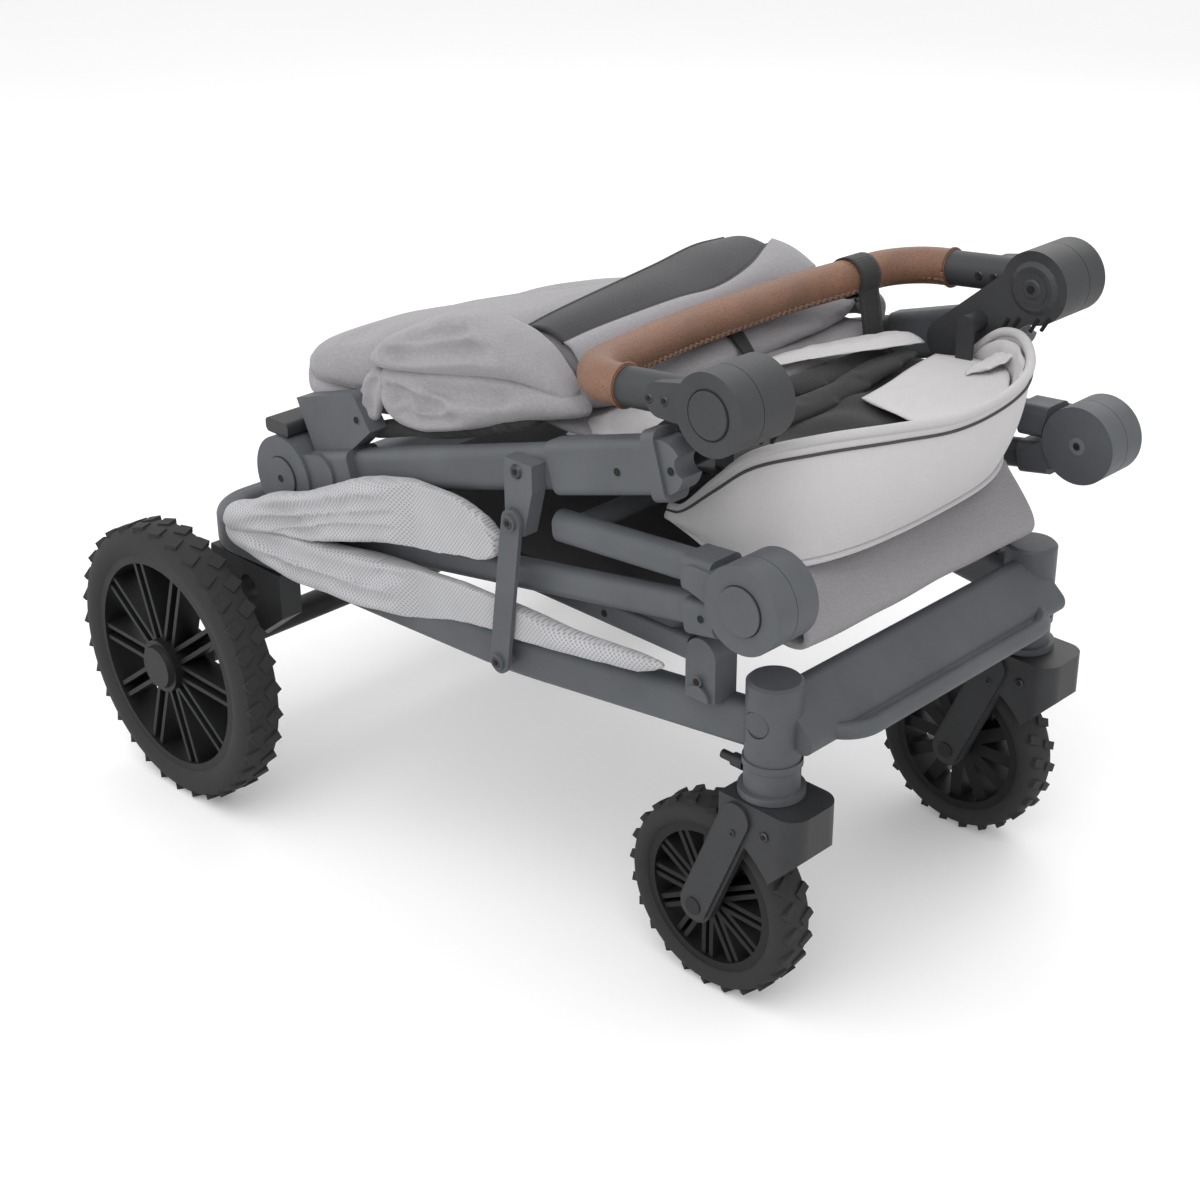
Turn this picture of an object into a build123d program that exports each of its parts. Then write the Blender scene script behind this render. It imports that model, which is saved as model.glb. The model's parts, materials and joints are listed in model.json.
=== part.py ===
from build123d import *
import os
from math import atan2, cos, degrees, hypot, radians, sin

# Folding pet stroller, stored folded. Millimetres. +X forward (swivel wheels), +Y left, +Z up.
# Origin on the floor under the middle of the folded stroller. Right is the -Y side.

# Running gear
FRONT_RIM_R = 69.0
FRONT_TYRE_H = 21.0
FRONT_WHEEL_R = FRONT_RIM_R + FRONT_TYRE_H
FRONT_WHEEL_W = 40.0
FRONT_SPOKES = 12
REAR_RIM_R = 113.0
REAR_TYRE_H = 30.0
REAR_WHEEL_R = REAR_RIM_R + REAR_TYRE_H
REAR_WHEEL_W = 44.0
REAR_SPOKES = 10
REAR_TRACK = 630.0
WHEELBASE = 650.0
CASTER_TRAIL = 53.5
FRONT_AXLE_R = 5.0
REAR_AXLE_R = 7.0
STEM_R = 8.0

# Chassis
POST_X = 367.0
POST_Y = 179.0
POST_R = 23.5
POST_TOP = 316.0
POST_FOOT = 213.0
RAIL_Z = 270.0
RAIL_H = 40.0
RAIL_W = 24.0
RAIL_BEND_BACK = 250.0
RAIL_BEND_Y = 231.0
RAIL_REAR_Y = 258.0
RAIL_REAR_BACK = 13.0
BEAM_LIP_R = 7.5
BEAM_LIP_AHEAD = 51.5
BEAM_LIP_Z = 268.0

# Fold pivots, measured forward from the caster posts and up from the floor
FRONT_PIVOT_AHEAD = 22.0
FRONT_PIVOT_Z = 408.0
REAR_PIVOT_BACK = 543.0
REAR_PIVOT_Z = 350.0
FRONT_HINGE_R = 36.0
REAR_HINGE_R = 40.0
HINGE_INNER_Y = 202.0
HINGE_SPLIT_Y = 226.0
HINGE_OUTER_Y = 250.0
HINGE_PIN_R = 8.0
WALL_TUBE_Y = 225.0
WALL_TUBE_W = 22.0

# Walls, floor and handle
REAR_WALL_RISE = 16.8
REAR_WALL_L = 478.0
REAR_TUBE_H = 40.0
FRONT_WALL_RISE = 4.6
FRONT_WALL_L = 231.0
FRONT_TUBE_H = 28.0
FLOOR_RISE = 10.2
STRUT_Z = 327.0
STRUT_Y = 199.0
STRUT_H = 22.0
STRUT_W = 18.0
FLOOR_T = 10.0
HUB_BACK = 22.0
HUB_Z = 549.0
HUB_R = 33.0
HUB_INNER_Y = 180.0
HUB_SPLIT_Y = 215.0
HUB_OUTER_Y = 240.0
HANDLE_FALL = 6.0
HANDLE_REACH = 182.0
HANDLE_Y = 214.0
GRIP_R = 17.0
GRIP_LEG = 75.0
GRIP_START = HANDLE_REACH - GRIP_LEG

# Clearances
RUN_GAP = 0.05
FACE_GAP = 0.6
SOFT_GAP = 3.0
SEAT_GAP = 0.05

# Worked-out places
REAR_AXLE_X = POST_X - WHEELBASE
FRONT_AXLE_X = POST_X - CASTER_TRAIL
REAR_WHEEL_Y = REAR_TRACK / 2
FRONT_PIVOT_X = POST_X + FRONT_PIVOT_AHEAD
REAR_PIVOT_X = POST_X - REAR_PIVOT_BACK
HUB_X = POST_X - HUB_BACK
RAIL_TOP = RAIL_Z + RAIL_H / 2
RAIL_FOOT = RAIL_Z - RAIL_H / 2

os.makedirs("parts", exist_ok=True)


def save(part, name):
    part.label = name
    export_step(part, f"parts/{name}.step")


def save_pair(right_part, name):
    """Write a right-hand piece and its mirror image."""
    save(right_part, f"{name}_right")
    save(mirror(right_part, about=Plane.XZ), f"{name}_left")


def save_both(right_part, name):
    """Write a right-hand piece and its mirror image as one node of two solids."""
    save(Compound(children=[right_part, mirror(right_part, about=Plane.XZ)]), name)


def at_side(y):
    """Sketch plane at a distance y out from the middle on the right side, facing outwards."""
    return Plane.XZ.offset(y)


def along(x, y, z, rise):
    """Sketch plane square to a line that climbs forward by rise degrees, upright axis second."""
    return Plane((x, -y, z), x_dir=(0, 1, 0), z_dir=(cos(radians(rise)), 0, sin(radians(rise))))


def out_from(x, z, rise, distance, lift=0.0):
    """Point at a distance along a line that climbs forward by rise degrees, then lifted square to it."""
    c = cos(radians(rise))
    s = sin(radians(rise))
    return x + distance * c - lift * s, z + distance * s + lift * c


# Wheels, each modelled on a plane through its middle that faces outwards
FRONT_WHEEL_PLANE = Plane((FRONT_AXLE_X, -POST_Y, FRONT_WHEEL_R), x_dir=(1, 0, 0), z_dir=(0, -1, 0))
REAR_WHEEL_PLANE = Plane((REAR_AXLE_X, -REAR_WHEEL_Y, REAR_WHEEL_R), x_dir=(1, 0, 0), z_dir=(0, -1, 0))
LUG_H = 2.0
LUG_SINK = 4.0
LUG_TRIM = 0.25
LUG_SLANT = 28.0
LUG_PLACE = 0.23
LUG_REACH = 0.36
LUG_GIRTH = 0.085
BEAD_INSET = 4.0
SHOULDER_INSET = 5.0
SHOULDER_DROP = 2.2
FRONT_LUGS = 24
REAR_LUGS = 32
RIM_WALL = 8.0
RIM_INSET = 4.0
RIB_T = 4.4
FRONT_RIB_SPREAD = 4.2
REAR_RIB_SPREAD = 6.5
RIB_INSET = 10.0
RIB_SINK = 3.0
RIB_FLOOR = 5.0
FRONT_HUB_R = 15.0
FRONT_HUB_W = 43.0
REAR_HUB_R = 27.0
REAR_HUB_W = 46.0
REAR_CAP_PROUD = 5.0
CAP_TAPER = 18.0

# Casters and posts
FORK_GAP = 1.0
FORK_LEG_T = 8.0
FORK_LEG_W = 34.0
FORK_LEG_OFFSET = 10.0
FORK_COVER_T = 3.0
FORK_COVER_STEP = 6.0
AXLE_HEAD_R = 8.0
AXLE_HEAD_T = 4.0
CROWN_BACK = 30.0
CROWN_AHEAD = 50.0
CROWN_NOSE_Z = 84.0
CROWN_NOSE_R = 18.0
WHEEL_ARCH_GAP = 6.0
STEM_L = 46.0
STEM_GAP = 1.0
POST_CHAMFER = 2.5
POST_FLARE = 4.5
POST_FLARE_H = 6.0
POST_RING = 1.5
POST_RING_Z = 240.0
POST_RING_H = 6.0
BUTTON_R = 11.5
BUTTON_GAP = 0.3
BUTTON_Z = 282.0
BUTTON_FLOOR = 12.0
BUTTON_TRAVEL = 2.5
BUTTON_INSET = 1.5
BUTTON_EDGE = 1.2
LOCK_PIN_R = 4.0
LOCK_PIN_IN = 12.0
LOCK_PIN_L = 40.0
LOCK_PIN_Z = 225.0
LOCK_KNOB_R = 6.0
LOCK_KNOB_T = 12.0

# Base frame, beam, legs and brake
RAIL_CORNER = 9.0
RAIL_BEND_R = 420.0
RAIL_CORNER_R = 46.0
BEAM_AHEAD = 15.0
BEAM_Z = 281.0
BEAM_DEPTH = 60.0
BEAM_T = 20.0
BEAM_SLOPE = 42.0
BEAM_FLANGE_T = 6.0
BEAM_LIP_BACK = 4.0
BEAM_LIP_Y = 148.0
BEAM_LIP_BEND = 34.0
LEG_Y = 238.0
LEG_T = 24.0
LEG_BACK = -6.0
LEG_AHEAD = 105.0
LEG_KNEE = 46.0
LEG_BOSS_R = 24.0
LEG_WINDOW_R = 13.0
LEG_WINDOW_DROP = 28.5
AXLE_TUBE_R = 14.0
PEDAL_W = 34.0
PEDAL_WALL = 5.0
PEDAL_REACH = 52.0
PEDAL_DROP = 14.0
PEDAL_T = 12.0
PEDAL_BAR_L = 130.0
PEDAL_BAR_R = 9.0

# Knuckles, sockets and hinge arms
KNUCKLE_BACK = 52.0
KNUCKLE_L = 32.0
KNUCKLE_Y = 184.0
KNUCKLE_W = 26.0
STRUT_CORNER = 5.0
BOARD_MARGIN = 24.0
BOARD_LAP = 10.0
BOARD_CORNER = 14.0
BRACKET_L = 64.0
BRACKET_FOOT_T = 6.0
LOW_ARM_BACK = 48.0
LOW_ARM_DROP = 27.0
TOP_ARM_BACK = 51.0
TOP_ARM_LIFT = 8.0
NECK_R = 11.0
NECK_INSET = 3.0
REAR_NECK_R = 20.0
SOCKET_L = 30.0
SOCKET_W = 38.0
SOCKET_WALL = 2.0
SOCKET_CORNER = 8.0
REAR_SOCKET_L = 56.0
HINGE_CAP_R = 20.0
HINGE_CAP_T = 2.0
WING_BACK = 44.0
WING_FRONT = 132.0
WING_LEAN = 12.0
WING_H = 72.0
WING_T = 20.0
WING_CORNER = 8.0
BAR_BACK = 8.0
BAR_L = 34.0
BAR_DEPTH = 14.0
BAR_CORNER = 5.0
FLOOR_RAIL_Y = 222.0
FLOOR_RAIL_W = 20.0
CROSS_TUBE_R = 9.0
SLEEVE_L = 112.0
SLEEVE_WALL = 6.0
CLIP_FLANGE_T = 14.0
CLIP_R = 22.0
CLIP_GROOVE_R = 9.0
CLIP_RISE = 6.0

# Handle, strap and fold lock
NECK_LAP = 26.0
NECK_TOP_R = 26.0
NECK_FOOT_R = 20.0
NECK_OUTER_Y = 197.0
HUB_PIN_L = 11.0
HUB_BUTTON_R = 19.0
HUB_BUTTON_TRAVEL = 3.0
HUB_BUTTON_PROUD = 1.5
HUB_POCKET = 12.0
END_NECK = 26.0
END_R = 16.0
END_ROOT_R = 20.0
END_TIP_R = 14.4
GRIP_BOW = 20.0
GRIP_FLAT = 70.0
GRIP_CORNER_R = 48.0
GRIP_BOW_R = 260.0
STRAP_Y = 150.0
STRAP_W = 26.0
STRAP_T = 2.0
STRAP_GAP = 0.3
STRAP_DROP = 50.0
LOCK_STANDOFF = 9.0
LOCK_BAR_T = 4.0
LOCK_BAR_W = 22.0
LOCK_FOOT_BACK = 241.0
LOCK_BAR_LEAN = 19.0
LOCK_BAR_RISE = 136.0
LOCK_RIVET_R = 7.0
LOCK_RIVET_T = 3.0

# Soft goods: hood sections are place ahead of the rear pivot, half width, then foot and both tops above it
HOOD_SECTIONS = [(-29.0, 188.0, 54.7, 98.0, 82.0), (26.0, 205.0, 54.7, 136.0, 98.0),
                 (136.0, 208.0, 68.0, 176.0, 138.0), (236.0, 215.0, 98.0, 210.0, 195.0),
                 (308.0, 188.0, 124.0, 206.0, 190.0)]
HOOD_ROUND = 0.42
MESH_BACK = 207.0
MESH_BACK_Z = 424.0
MESH_FRONT = 69.0
MESH_FRONT_Z = 455.0
MESH_T = 16.0
MESH_ROUND = 6.0
CANOPY_ALONG = 0.6
BOW_PIVOT_R = 9.0
BOW_T = 3.0
BOW_H = 14.0
BOW_LIFT = 8.0
BOW_TAIL = 24.0
BOW_GAP = 5.4
VISOR_END_BACK = 99.0
VISOR_LOW_AHEAD = 29.0
VISOR_HIGH_AHEAD = 74.0
VISOR_Y = 172.0
VISOR_T = 5.0
VISOR_LOW = 397.0
VISOR_H = 111.0
VISOR_LOW_BEND = 95.0
VISOR_HIGH_BEND = 165.0
VISOR_END_H = 22.0
VISOR_END_SLOPE = 45.0
PANEL_AHEAD = 12.0
PANEL_LOW = 334.0
PANEL_LEAN = 18.0
PANEL_HIGH = 386.0
PANEL_T = 8.0
PANEL_BEND = 12.0
PANEL_Y = 165.0
SIDE_MESH_SECTIONS = [(104.0, 334.0), (196.0, 384.0), (288.0, 372.0)]
SIDE_MESH_Y = 244.0
SIDE_MESH_T = 13.0
SIDE_MESH_ROUND = 5.8


def make_tyre(plane, radius, width, bore, lugs):
    """Tyre with rounded shoulders and two staggered rows of slanted tread lugs."""
    shoulder = radius - LUG_H
    half = width / 2
    bead = half - BEAD_INSET
    edge = half - SHOULDER_INSET
    edge_r = shoulder - SHOULDER_DROP
    bulge_r = (bore + shoulder) / 2
    with BuildPart(mode=Mode.PRIVATE) as lug:
        tread_plane = Plane((shoulder - LUG_SINK, 0, 0), x_dir=(0, 1, 0), z_dir=(1, 0, 0))
        with BuildSketch(tread_plane):
            with Locations((0, width * LUG_PLACE)):
                Rectangle(radius * LUG_GIRTH, width * LUG_REACH, rotation=LUG_SLANT)
        extrude(amount=LUG_SINK + LUG_H - LUG_TRIM)
    with BuildPart(plane) as tyre:
        with BuildSketch(Plane(plane.origin, x_dir=(1, 0, 0), z_dir=(0, 0, 1))):
            with BuildLine():
                Polyline((bore, -bead), (bore, bead))
                ThreePointArc((bore, bead), (bulge_r, half), (edge_r, edge))
                ThreePointArc((edge_r, edge), (shoulder, 0), (edge_r, -edge))
                ThreePointArc((edge_r, -edge), (bulge_r, -half), (bore, -bead))
            make_face()
        revolve(axis=Axis(plane.origin, (0, 1, 0)))
        with PolarLocations(0, lugs):
            add(lug.part)
        with PolarLocations(0, lugs, start_angle=180 / lugs):
            add(lug.part, rotation=(180, 0, 0))
    return tyre.part


def make_rim(plane, radius, width, spokes, spread, hub_r, hub_w, bore, cap_proud):
    """Moulded rim: outer ring, hub and pairs of ribs as spokes. A cap closes the bore if it stands proud."""
    well = radius - RIM_WALL
    rib_l = well - hub_r + 2 * RIB_SINK
    rib_mid = (well + hub_r) / 2
    with BuildPart(plane) as rim:
        with BuildSketch(plane.offset(-width / 2 + RIM_INSET)):
            Circle(radius)
            Circle(well, mode=Mode.SUBTRACT)
        extrude(amount=width - 2 * RIM_INSET)
        with BuildSketch(plane.offset(-hub_w / 2)):
            Circle(hub_r)
        extrude(amount=hub_w)
        with BuildSketch(plane.offset(-width / 2 + RIB_INSET)):
            with PolarLocations(0, spokes):
                with Locations((rib_mid, spread), (rib_mid, -spread)):
                    Rectangle(rib_l, RIB_T)
        extrude(amount=width - 2 * RIB_INSET + RIM_INSET)
        with BuildSketch(plane.offset(-width / 2 + RIB_INSET)):
            with PolarLocations(0, spokes):
                with Locations((rib_mid, 0)):
                    Rectangle(rib_l, 2 * spread)
        extrude(amount=RIB_FLOOR)
        if cap_proud:
            with BuildSketch(plane.offset(hub_w / 2)):
                Circle(hub_r - RIB_T)
            extrude(amount=cap_proud, taper=CAP_TAPER)
        with BuildSketch(plane.offset(-hub_w / 2)):
            Circle(bore)
        extrude(amount=hub_w - RIM_INSET if cap_proud else hub_w, mode=Mode.SUBTRACT)
    return rim.part


front_bore = FRONT_AXLE_R + RUN_GAP
rear_bore = REAR_AXLE_R + RUN_GAP
front_tyre = make_tyre(FRONT_WHEEL_PLANE, FRONT_WHEEL_R, FRONT_WHEEL_W, FRONT_RIM_R + SEAT_GAP, FRONT_LUGS)
rear_tyre = make_tyre(REAR_WHEEL_PLANE, REAR_WHEEL_R, REAR_WHEEL_W, REAR_RIM_R + SEAT_GAP, REAR_LUGS)
front_rim = make_rim(FRONT_WHEEL_PLANE, FRONT_RIM_R, FRONT_WHEEL_W, FRONT_SPOKES, FRONT_RIB_SPREAD,
                     FRONT_HUB_R, FRONT_HUB_W, front_bore, 0)
rear_rim = make_rim(REAR_WHEEL_PLANE, REAR_RIM_R, REAR_WHEEL_W, REAR_SPOKES, REAR_RIB_SPREAD,
                    REAR_HUB_R, REAR_HUB_W, rear_bore, REAR_CAP_PROUD)
save_pair(front_tyre, "front_tyre")
save_pair(rear_tyre, "rear_tyre")
save_pair(front_rim, "front_rim")
save_pair(rear_rim, "rear_rim")

# Front axle bolt with a head and a nut outside the fork legs
FORK_IN = FRONT_HUB_W / 2 + FORK_GAP
FORK_OUT = FORK_IN + FORK_LEG_T
with BuildPart() as front_axle:
    with BuildSketch(FRONT_WHEEL_PLANE.offset(-FORK_OUT)):
        Circle(FRONT_AXLE_R)
    extrude(amount=2 * FORK_OUT)
    with BuildSketch(FRONT_WHEEL_PLANE.offset(FORK_OUT)):
        Circle(AXLE_HEAD_R)
    extrude(amount=AXLE_HEAD_T)
    with BuildSketch(FRONT_WHEEL_PLANE.offset(-FORK_OUT)):
        Circle(AXLE_HEAD_R)
    extrude(amount=-AXLE_HEAD_T)
save_pair(front_axle.part, "front_axle")

# Caster fork: crown that curves over the wheel, two legs and the swivel stem
CROWN_TOP = POST_FOOT - FACE_GAP
leg_dx = CASTER_TRAIL - FORK_LEG_OFFSET
leg_dz = CROWN_TOP - FORK_LEG_W / 2 - FRONT_WHEEL_R
leg_mid = (FRONT_AXLE_X + leg_dx / 2, FRONT_WHEEL_R + leg_dz / 2)
leg_tilt = degrees(atan2(leg_dz, leg_dx))
with BuildPart() as caster_fork:
    with BuildSketch(at_side(POST_Y - FORK_OUT)):
        with BuildLine():
            Polyline((POST_X - CROWN_BACK, CROWN_TOP), (POST_X - CROWN_BACK, FRONT_WHEEL_R),
                     (POST_X + CROWN_AHEAD, FRONT_WHEEL_R + CROWN_NOSE_Z), (POST_X + CROWN_AHEAD, CROWN_TOP),
                     (POST_X - CROWN_BACK, CROWN_TOP))
        make_face()
        with Locations((FRONT_AXLE_X, FRONT_WHEEL_R)):
            Circle(FRONT_WHEEL_R + WHEEL_ARCH_GAP, mode=Mode.SUBTRACT)
    extrude(amount=2 * FORK_OUT)
    fillet(caster_fork.edges().filter_by(Axis.Z).group_by(Axis.X)[-1], CROWN_NOSE_R)
    for leg_start in (POST_Y - FORK_OUT, POST_Y + FORK_IN):
        with BuildSketch(at_side(leg_start)):
            with Locations(leg_mid):
                SlotCenterToCenter(hypot(leg_dx, leg_dz), FORK_LEG_W, rotation=leg_tilt)
        extrude(amount=FORK_LEG_T)
    for cover_start in (POST_Y - FORK_OUT - FORK_COVER_T, POST_Y + FORK_OUT):
        with BuildSketch(at_side(cover_start)):
            with Locations(leg_mid):
                SlotCenterToCenter(hypot(leg_dx, leg_dz), FORK_LEG_W - FORK_COVER_STEP, rotation=leg_tilt)
            with Locations((FRONT_AXLE_X, FRONT_WHEEL_R)):
                Circle(AXLE_HEAD_R + SEAT_GAP, mode=Mode.SUBTRACT)
        extrude(amount=FORK_COVER_T)
    with BuildSketch(FRONT_WHEEL_PLANE.offset(-FORK_OUT)):
        Circle(FRONT_AXLE_R + SEAT_GAP)
    extrude(amount=2 * FORK_OUT, mode=Mode.SUBTRACT)
    with BuildSketch(Plane((POST_X, -POST_Y, CROWN_TOP))):
        Circle(STEM_R)
    extrude(amount=STEM_L)
save_pair(caster_fork.part, "caster_fork")

# Caster post: tube with a step ring and a flared foot, bored for the stem, the lock pin and the button
with BuildPart() as caster_post:
    with BuildSketch(Plane((POST_X, -POST_Y, POST_FOOT))):
        Circle(POST_R)
    extrude(amount=POST_TOP - POST_FOOT)
    chamfer(caster_post.edges().group_by(Axis.Z)[-1], POST_CHAMFER)
    with BuildSketch(Plane((POST_X, -POST_Y, POST_FOOT))):
        Circle(POST_R + POST_FLARE)
    extrude(amount=POST_FLARE_H)
    with BuildSketch(Plane((POST_X, -POST_Y, POST_RING_Z))):
        Circle(POST_R + POST_RING)
    extrude(amount=POST_RING_H)
    with BuildSketch(Plane((POST_X, -POST_Y, POST_FOOT))):
        Circle(STEM_R + RUN_GAP)
    extrude(amount=STEM_L + STEM_GAP, mode=Mode.SUBTRACT)
    with BuildSketch(at_side(POST_Y + BUTTON_FLOOR)):
        with Locations((POST_X, BUTTON_Z)):
            Circle(BUTTON_R + BUTTON_GAP)
    extrude(amount=POST_R, mode=Mode.SUBTRACT)
    with BuildSketch(Plane((POST_X - LOCK_PIN_IN, -POST_Y, LOCK_PIN_Z), x_dir=(0, 1, 0), z_dir=(-1, 0, 0))):
        Circle(LOCK_PIN_R + RUN_GAP)
    extrude(amount=POST_R + POST_FLARE, mode=Mode.SUBTRACT)
save_pair(caster_post.part, "caster_post")

# Wheel release button in the outer side of the post
with BuildPart() as release_button:
    with BuildSketch(at_side(POST_Y + BUTTON_FLOOR + BUTTON_TRAVEL + BUTTON_GAP)):
        with Locations((POST_X, BUTTON_Z)):
            Circle(BUTTON_R)
    extrude(amount=POST_R - BUTTON_FLOOR - BUTTON_TRAVEL - BUTTON_GAP - BUTTON_INSET)
    fillet(release_button.edges().group_by(Axis.Y)[0], BUTTON_EDGE)
save_pair(release_button.part, "release_button")

# Swivel lock pin that is pulled out rearwards
with BuildPart() as swivel_lock:
    with BuildSketch(Plane((POST_X - LOCK_PIN_IN - STEM_GAP, -POST_Y, LOCK_PIN_Z),
                           x_dir=(0, 1, 0), z_dir=(-1, 0, 0))):
        Circle(LOCK_PIN_R)
    extrude(amount=LOCK_PIN_L)
    with BuildSketch(Plane((POST_X - POST_R - POST_FLARE - FACE_GAP, -POST_Y, LOCK_PIN_Z),
                           x_dir=(0, 1, 0), z_dir=(-1, 0, 0))):
        Circle(LOCK_KNOB_R)
    extrude(amount=LOCK_KNOB_T)
save_pair(swivel_lock.part, "swivel_lock")

# Base frame: one oval tube from post to post round the back, wider at the rear
rail_back_x = REAR_AXLE_X - RAIL_REAR_BACK
with BuildPart() as base_frame:
    with BuildLine(Plane.XY.offset(RAIL_Z)) as base_path:
        FilletPolyline((POST_X, -POST_Y), (POST_X - RAIL_BEND_BACK, -RAIL_BEND_Y),
                       (rail_back_x, -RAIL_REAR_Y), (rail_back_x, RAIL_REAR_Y),
                       (POST_X - RAIL_BEND_BACK, RAIL_BEND_Y), (POST_X, POST_Y),
                       radius=[RAIL_BEND_R, RAIL_CORNER_R, RAIL_CORNER_R, RAIL_BEND_R])
    start = base_path.line @ 0
    heading = base_path.line % 0
    with BuildSketch(Plane(start, x_dir=(-heading.Y, heading.X, 0), z_dir=heading)):
        RectangleRounded(RAIL_W, RAIL_H, RAIL_CORNER)
    sweep(path=base_path.line)
    with Locations((POST_X, POST_Y, RAIL_Z), (POST_X, -POST_Y, RAIL_Z)):
        Cylinder(POST_R + SEAT_GAP, RAIL_H * 2, mode=Mode.SUBTRACT)
save(base_frame.part, "base_frame")

# Front beam: sloping oval apron between the posts, with a flange along its foot and a bead round the flange
with BuildPart() as front_beam:
    with BuildSketch(Plane.XZ):
        with Locations((POST_X + BEAM_AHEAD, BEAM_Z)):
            SlotOverall(BEAM_DEPTH, BEAM_T, rotation=-BEAM_SLOPE)
    extrude(amount=POST_Y, both=True)
    with BuildLine(Plane.XY.offset(BEAM_LIP_Z)) as lip_path:
        FilletPolyline((POST_X + BEAM_LIP_BACK, -BEAM_LIP_Y), (POST_X + BEAM_LIP_AHEAD, -BEAM_LIP_Y),
                       (POST_X + BEAM_LIP_AHEAD, BEAM_LIP_Y), (POST_X + BEAM_LIP_BACK, BEAM_LIP_Y),
                       radius=BEAM_LIP_BEND)
    with BuildSketch(Plane.XY.offset(BEAM_LIP_Z)):
        with BuildLine():
            add(lip_path.line)
            Line(lip_path.line @ 1, lip_path.line @ 0)
        make_face()
    extrude(amount=BEAM_FLANGE_T / 2, both=True)
    with BuildSketch(Plane(lip_path.line @ 0, z_dir=lip_path.line % 0)):
        Circle(BEAM_LIP_R)
    sweep(path=lip_path.line)
    with Locations((POST_X, POST_Y, RAIL_Z), (POST_X, -POST_Y, RAIL_Z)):
        Cylinder(POST_R + SEAT_GAP, RAIL_H * 4, mode=Mode.SUBTRACT)
save(front_beam.part, "front_beam")

# Rear leg: moulded bracket from the base frame down to the axle, with a boss out to the wheel
with BuildPart() as rear_leg:
    with BuildSketch(at_side(LEG_Y)):
        with BuildLine():
            Polyline((REAR_AXLE_X + LEG_BACK, RAIL_FOOT), (REAR_AXLE_X + LEG_AHEAD, RAIL_FOOT),
                     (REAR_AXLE_X + LEG_AHEAD, RAIL_FOOT - LEG_KNEE),
                     (REAR_AXLE_X + LEG_BOSS_R, REAR_WHEEL_R), (REAR_AXLE_X - LEG_BOSS_R, REAR_WHEEL_R),
                     (REAR_AXLE_X + LEG_BACK, RAIL_FOOT))
        make_face()
        with Locations((REAR_AXLE_X, REAR_WHEEL_R)):
            Circle(LEG_BOSS_R)
        with Locations((REAR_AXLE_X + LEG_AHEAD / 2, RAIL_FOOT - LEG_WINDOW_DROP)):
            Circle(LEG_WINDOW_R, mode=Mode.SUBTRACT)
    extrude(amount=LEG_T)
    with BuildSketch(at_side(LEG_Y)):
        with Locations((REAR_AXLE_X, REAR_WHEEL_R)):
            Circle(LEG_BOSS_R - RIM_WALL)
    extrude(amount=REAR_WHEEL_Y - REAR_HUB_W / 2 - FACE_GAP - LEG_Y)
    with BuildSketch(at_side(LEG_Y)):
        with Locations((REAR_AXLE_X, REAR_WHEEL_R)):
            Circle(REAR_AXLE_R + SEAT_GAP)
    extrude(amount=REAR_WHEEL_Y, mode=Mode.SUBTRACT)
save_pair(rear_leg.part, "rear_leg")

# Rear axle: thick tube between the legs, turned down to the wheel journals
axle_plane = Plane((REAR_AXLE_X, 0, REAR_WHEEL_R), x_dir=(1, 0, 0), z_dir=(0, -1, 0))
AXLE_END = REAR_WHEEL_Y + REAR_HUB_W / 2 - RIM_INSET - FACE_GAP
with BuildPart() as rear_axle:
    with BuildSketch(axle_plane):
        Circle(AXLE_TUBE_R)
    extrude(amount=LEG_Y - SEAT_GAP, both=True)
    with BuildSketch(axle_plane):
        Circle(REAR_AXLE_R)
    extrude(amount=AXLE_END, both=True)
save(rear_axle.part, "rear_axle")

# Brake pedal: split collar on the axle tube with a foot bar behind it
with BuildPart() as brake_pedal:
    with BuildSketch(axle_plane.offset(-PEDAL_W / 2)):
        Circle(AXLE_TUBE_R + PEDAL_WALL)
        with Locations((-PEDAL_REACH / 2, PEDAL_DROP / 2)):
            SlotCenterToCenter(hypot(PEDAL_REACH, PEDAL_DROP), PEDAL_T,
                               rotation=degrees(atan2(-PEDAL_DROP, PEDAL_REACH)))
        Circle(AXLE_TUBE_R + RUN_GAP, mode=Mode.SUBTRACT)
    extrude(amount=PEDAL_W)
    with BuildSketch(axle_plane.offset(-PEDAL_BAR_L / 2)):
        with Locations((-PEDAL_REACH, PEDAL_DROP)):
            Circle(PEDAL_BAR_R)
    extrude(amount=PEDAL_BAR_L)
save(brake_pedal.part, "brake_pedal")

# Front knuckle: half-round bracket on the base rail that carries the floor strut
KNUCKLE_TOP = STRUT_Z + STRUT_H / 2
with BuildPart() as front_knuckle:
    with BuildSketch(at_side(KNUCKLE_Y)):
        with Locations((POST_X - KNUCKLE_BACK, RAIL_TOP)):
            Rectangle(KNUCKLE_L, STRUT_Z - RAIL_TOP, align=(Align.CENTER, Align.MIN))
        with Locations((POST_X - KNUCKLE_BACK, STRUT_Z)):
            Circle(KNUCKLE_L / 2)
    extrude(amount=KNUCKLE_W)
    with BuildSketch(at_side(KNUCKLE_Y + KNUCKLE_W)):
        with Locations((POST_X - KNUCKLE_BACK, RAIL_TOP)):
            Circle(KNUCKLE_L / 2 - RIM_INSET)
            Rectangle(KNUCKLE_L, KNUCKLE_L, align=(Align.CENTER, Align.MAX), mode=Mode.SUBTRACT)
    extrude(amount=RIM_INSET)
save_both(front_knuckle.part, "front_knuckles")

# Floor strut: level tube from the knuckle back to the rear hinge bracket
strut_front = POST_X - KNUCKLE_BACK - KNUCKLE_L / 2
strut_rear = REAR_PIVOT_X + REAR_HINGE_R + SEAT_GAP
with BuildPart() as floor_strut:
    with BuildSketch(along(strut_rear, STRUT_Y, STRUT_Z, 0)):
        RectangleRounded(STRUT_W, STRUT_H, STRUT_CORNER)
    extrude(amount=strut_front - strut_rear - SEAT_GAP)
save_both(floor_strut.part, "floor_struts")

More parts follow.
